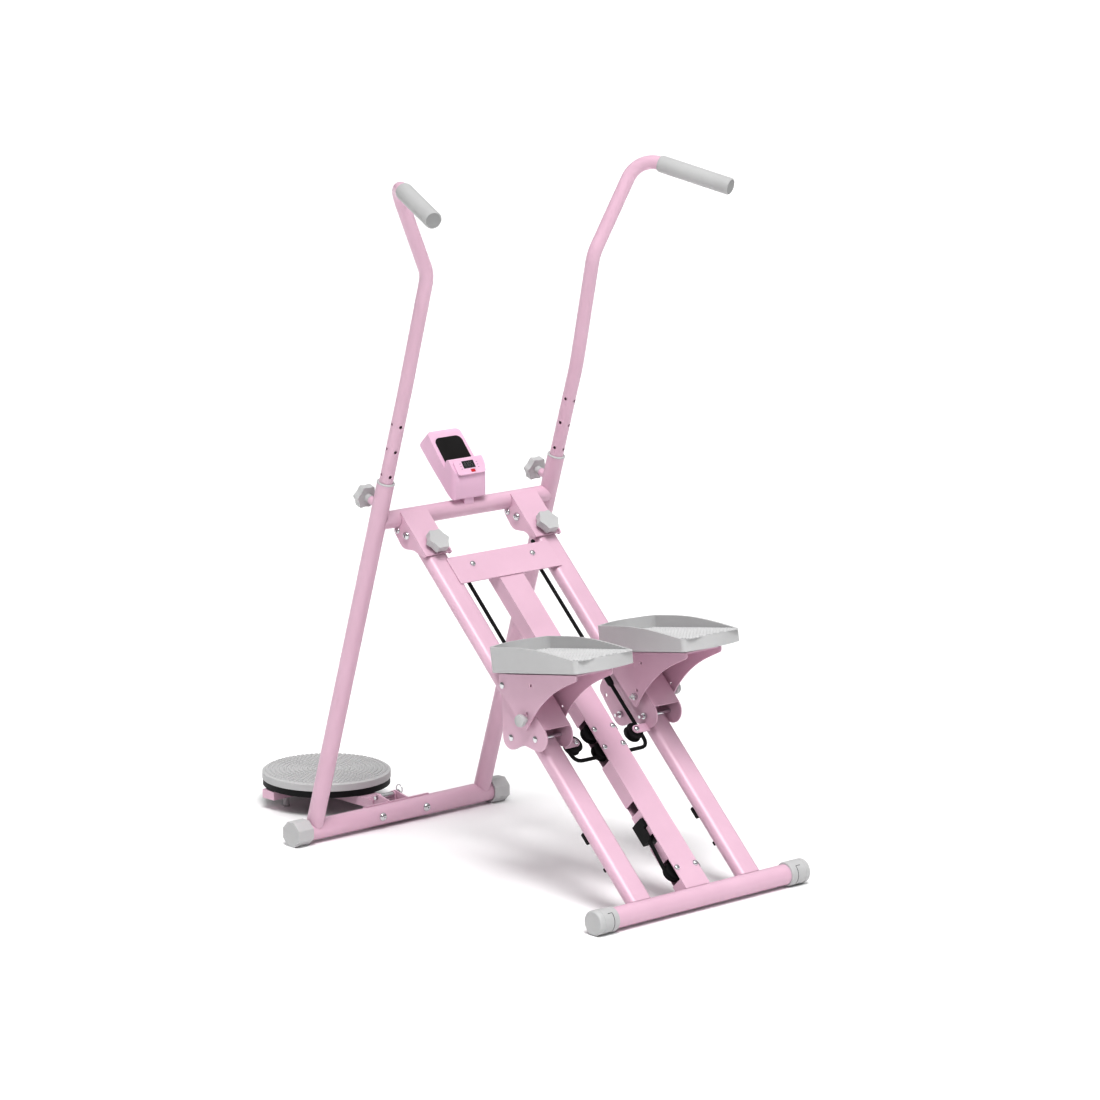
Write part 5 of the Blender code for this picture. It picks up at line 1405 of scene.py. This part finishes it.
def make_console_details():
    """Raised panel, display, marks and phone pad of the console."""
    plate = rounded_plate("console_panel", 0.0400, 0.0172, 0.007, 0.0036, CASE,
                          panel_at(0.0, -0.001, 0.0008))
    rounded(plate, 0.0015, 3)
    cut(plate, box("panel_gap", (0.0124, 0.0074, 0.010), CASE, button_frame(0.0)))
    fitting(plate, "frame", "lilac_plastic")
    glass = rounded_plate("console_display", 0.0165, 0.0088, 0.0012, 0.0012, GLASS,
                          panel_at(-0.001, 0.0045, 0.0023))
    fitting(glass, "frame", "black_plastic")
    for digit in range(4):
        x = -0.0105 + digit * 0.0062
        for k, (dx, dy, wide, tall) in enumerate(SEGMENTS):
            if (digit, k) in SEGMENTS_OFF:
                continue
            bar = box("display_bar_%d_%d" % (digit, k), (wide, tall, 0.0002), LCD,
                      panel_at(x + dx, 0.0052 + dy, 0.0030))
            fitting(bar, "frame", "black_plastic")
    for side, sign in SIDES:
        for row in range(3):
            mark = rounded_plate("console_mark_%s_%d" % (side, row), 0.0020, 0.0006, 0.0005,
                                 0.0003, MARK, panel_at(sign * 0.0235, -0.0045 + row * 0.0062,
                                                        0.0025))
            fitting(mark, "frame", "black_plastic")
    up = Vector((0.0, 0.644, 0.765))
    out = Vector((0.0, -0.765, 0.644))
    rest = basis(X_AXIS, up, out, from_rear(0.0, 0.7407, 0.8369))
    outline = ring_of([(-0.0348, 0.0045, 0.0030), (0.0348, 0.0045, 0.0030),
                       (0.0235, 0.0560, 0.0140), (-0.0235, 0.0560, 0.0140)], radians(12))
    pad = flat_plate("phone_pad", [outline], 0.0016, PAD, rest @ Matrix.Translation((0, 0, 0.0006)))
    rounded(pad, 0.0005, 2)
    fitting(pad, "frame", "black_plastic")


# ---------------------------------------------------------------- treads
def inside(point, outline):
    """Whether a point is inside an outline."""
    x, y = point
    hit = False
    for (ax, ay), (bx, by) in zip(outline, outline[1:] + outline[:1]):
        if (ay > y) != (by > y) and x < (bx - ax) * (y - ay) / (by - ay) + ax:
            hit = not hit
    return hit


def make_treads():
    """Ribbed floor of each pedal: rows of small zigzag ridges."""
    half = PEDAL_HALF - 0.0075
    outline = ring_of([(-half + 0.012, 0.016, 0.012), (half - 0.012, 0.016, 0.012),
                       (half - 0.018, 0.256, 0.018), (0.0, 0.197, 0.094),
                       (-half + 0.018, 0.256, 0.018)])
    step = 0.0013
    columns = int(2 * half / step)
    rows = int(0.30 / step)
    for side, sign in SIDES:
        bm = bmesh.new()
        verts = {}

        def vert(i, j):
            if (i, j) not in verts:
                x = -half + i * step
                y = j * step
                zigzag = abs((x / TREAD_WAVE) % 1.0 - 0.5) * TREAD_WAVE * 0.9
                rise = (0.5 + 0.5 * cos(2.0 * pi * (y + zigzag) / TREAD_PITCH)) ** 1.4
                verts[i, j] = bm.verts.new((x, y, 0.0002 + TREAD_HEIGHT * rise))
            return verts[i, j]

        for i in range(columns):
            for j in range(rows):
                x = -half + (i + 0.5) * step
                y = (j + 0.5) * step
                if inside((x, y), outline):
                    bm.faces.new((vert(i, j), vert(i + 1, j), vert(i + 1, j + 1), vert(i, j + 1)))
        grown = bmesh.ops.extrude_face_region(bm, geom=bm.faces[:])
        for item in grown["geom"]:
            if isinstance(item, bmesh.types.BMVert):
                item.co.z = -0.0006
        bmesh.ops.reverse_faces(bm, faces=bm.faces)
        tread = put("pedal_tread_" + side, mesh_from(bm, "tread"), TREAD,
                    pedal_frame(sign) @ Matrix.Translation((0, 0, SOLE_THICK)))
        fitting(tread, "pedal_" + side, "grey_plastic")


def make_disc_nubs():
    """Rows of small raised pads in rings on the disc's top."""
    bm = bmesh.new()
    ring = 0.0100
    while ring < DISC_RADIUS - 0.009:
        count = max(6, int(round(2.0 * pi * ring / 0.0112 / 6.0)) * 6)
        for k in range(count):
            angle = 2.0 * pi * (k + 0.5 * (int(ring / NUB_PITCH) % 2)) / count
            spin = Matrix.Rotation(angle, 4, "Z")
            centre = spin @ Matrix.Translation((ring, 0.0, 0.0))
            layers = []
            for reach, rise in ((1.0, -0.0008), (1.0, 0.0010), (0.86, 0.0020), (0.55, 0.0025)):
                layers.append([bm.verts.new(centre @ Vector((NUB_DEEP * reach * cos(a),
                                                            NUB_WIDE * reach * sin(a), rise)))
                               for a in [2.0 * pi * q / 10 for q in range(10)]])
            for lower, upper in zip(layers, layers[1:]):
                for q in range(10):
                    r = (q + 1) % 10
                    bm.faces.new((lower[q], lower[r], upper[r], upper[q]))
            bm.faces.new(layers[-1])
            bm.faces.new(list(reversed(layers[0])))
        ring += NUB_PITCH
    nubs = put("disc_nubs", mesh_from(bm, "nubs"), PLASTIC,
               Matrix.Translation(from_rear(0.0, DISC_ALONG, DISC_TOP)))
    fitting(nubs, "disc_top", "grey_plastic")


# ---------------------------------------------------------------- disc fittings
def make_disc_fittings():
    """Feet, pin sleeve and pull ring of the disc's arm."""
    for side, sign in SIDES:
        foot = [(0.0, ARM_LOW - GAP), (0.0068, ARM_LOW - GAP), (0.0068, 0.0040), (0.0082, 0.0030),
                (0.0078, 0.0004), (0.0, 0.0002)]
        post = turned("disc_foot_" + side, foot, PLASTIC,
                      Matrix.Translation(from_rear(sign * 0.088, DISC_FOOT_ALONG, 0.0)), 14)
        fitting(post, "disc_arm", "grey_plastic")
    tube = pipe("pin_sleeve", from_rear(-0.0180, DISC_PIN_ALONG, DISC_PIN_Z),
                from_rear(0.0180, DISC_PIN_ALONG, DISC_PIN_Z), 0.0066, 0.0046, ZINC)
    fitting(tube, "disc_arm", "bright_zinc")
    centre = from_rear(0.0385, DISC_PIN_ALONG, DISC_PIN_Z + 0.0090)
    ring = []
    for i in range(25):
        angle = -pi / 2.0 + radians(8) + (2.0 * pi - radians(16)) * i / 24
        ring.append(centre + Vector((0.0, cos(angle) * 0.0100, sin(angle) * 0.0100)))
    fitting(bent_tube("pin_ring", ring, 0.0010, ZINC, 2), "disc_pin", "bright_zinc")


# ---------------------------------------------------------------- light, floor and camera
def place_aimed(name, data, place, direction):
    """Lamp or camera at a place, looking along a direction."""
    obj = bpy.data.objects.new(name, data)
    turn = direction.to_track_quat("-Z", "Y").to_matrix().to_4x4()
    obj.matrix_world = Matrix.Translation(place) @ turn
    bpy.context.scene.collection.objects.link(obj)
    return obj


def make_studio():
    """Sky, key light, side light and floor."""
    world = bpy.data.worlds.new("studio")
    world.use_nodes = True
    tree = world.node_tree
    links = tree.links
    sky = tree.nodes["Background"]
    sky.inputs["Strength"].default_value = SKY_STRENGTH
    where = node(tree, "TexCoord")
    split = node(tree, "SeparateXYZ")
    dome = node(tree, "ValToRGB")
    set_ramp(dome, (0.0, (HORIZON, HORIZON, HORIZON)), (0.85, (1.0, 1.0, 1.0)))
    links.new(where.outputs["Generated"], split.inputs["Vector"])
    links.new(split.outputs["Z"], dome.inputs["Fac"])
    links.new(dome.outputs["Color"], sky.inputs["Color"])
    bpy.context.scene.world = world
    sun = bpy.data.lights.new("key", "SUN")
    sun.energy = KEY_POWER
    sun.angle = KEY_SPREAD
    place_aimed("key", sun, Vector((0.0, 0.0, 0.0)), KEY_AIM)
    lamp = bpy.data.lights.new("side", "AREA")
    lamp.shape = "DISK"
    lamp.size = SIDE_SIZE
    lamp.energy = SIDE_POWER
    place_aimed("side", lamp, SIDE_PLACE, SIDE_AIM - SIDE_PLACE)
    bm = bmesh.new()
    bmesh.ops.create_grid(bm, x_segments=2, y_segments=2, size=FLOOR_HALF)
    floor = put("floor", mesh_from(bm, "floor"), FLOOR)
    bpy.context.scene.view_settings.view_transform = "Standard"
    bpy.context.scene.view_settings.gamma = CONTRAST


def make_camera():
    """Camera that looks down along the machine from its left rear."""
    camera = bpy.data.cameras.new("camera")
    camera.lens = CAMERA_LENS
    camera.sensor_width = FILM_WIDTH
    camera.clip_end = CAMERA_REACH
    place = Vector((CAMERA_PLACE[0], CAMERA_PLACE[1] + BAR_Y, CAMERA_PLACE[2]))
    bpy.context.scene.camera = place_aimed("camera", camera, place, CAMERA_LOOK)


# ---------------------------------------------------------------- putting it together
def settle(obj):
    """Applies the modifiers and rounds the sharp edges a little."""
    graph = bpy.context.evaluated_depsgraph_get()
    mesh = bpy.data.meshes.new_from_object(obj.evaluated_get(graph))
    obj.modifiers.clear()
    obj.data = mesh
    bm = bmesh.new()
    bm.from_mesh(mesh)
    bmesh.ops.remove_doubles(bm, verts=bm.verts, dist=2e-6)
    bmesh.ops.dissolve_degenerate(bm, edges=bm.edges, dist=2e-6)
    bm.to_mesh(mesh)
    bm.free()
    mesh.shade_smooth()
    mesh.set_sharp_from_angle(angle=radians(38))
    kind = obj.name.removesuffix("_skin").removesuffix("_left").removesuffix("_right")
    width = EDGES.get(kind, 0.0)
    if width:
        rounded(obj, width, 2)
    normals = obj.modifiers.new("normals", "WEIGHTED_NORMAL")
    normals.keep_sharp = True


def fitting(piece, body, slot):
    """Notes the body and material slot of a piece that has no CAD node of its own."""
    FITTINGS[piece.name] = (body, slot)
    return piece


def attach_pieces():
    """Settles every piece, removes the cutters, hides the CAD nodes and ties each piece to its body;
    the blended ropes are only baked in place.
    """
    behaviour = frame["record"]["behaviour"]
    body_of = {node: body for body, nodes in behaviour["bodies"].items() for node in nodes}
    for node in sorted(frame["nodes"]):
        piece = bpy.data.objects[node + "_skin"]
        settle(piece)
    for name in sorted(FITTINGS):
        settle(bpy.data.objects[name])
    for name in CUTTER_NAMES:
        bpy.data.objects.remove(bpy.data.objects[name], do_unlink=True)
    for node in sorted(frame["nodes"]):
        piece = bpy.data.objects[node + "_skin"]
        if node in ROPE_BLENDS:
            body, low, high = ROPE_BLENDS[node]
            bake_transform(piece)
        else:
            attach(piece, body_of[node])
        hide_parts(node)
    for name in sorted(FITTINGS):
        body, slot = FITTINGS[name]
        if name in CROSS_BLENDS:
            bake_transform(bpy.data.objects[name])
        else:
            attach(bpy.data.objects[name], body)


for step in (
    make_uprights, make_front_bar, make_crossbar, make_brackets, make_lock_knobs, make_handles,
    make_grip_skins, make_console, make_rear_bar, make_rear_cap_skins, make_rails, make_beam,
    make_top_plate, make_ladder_pulleys, make_tension_block, make_top_rope, make_side_ropes,
    make_beam_rope, make_carriages, make_pedals, make_disc, make_bolts, make_beam_floor,
    make_rail_stops, make_rope_fitting, make_lower_rollers, make_console_details, make_treads,
    make_disc_nubs, make_disc_fittings, attach_pieces, make_studio, make_camera,
):
    step()
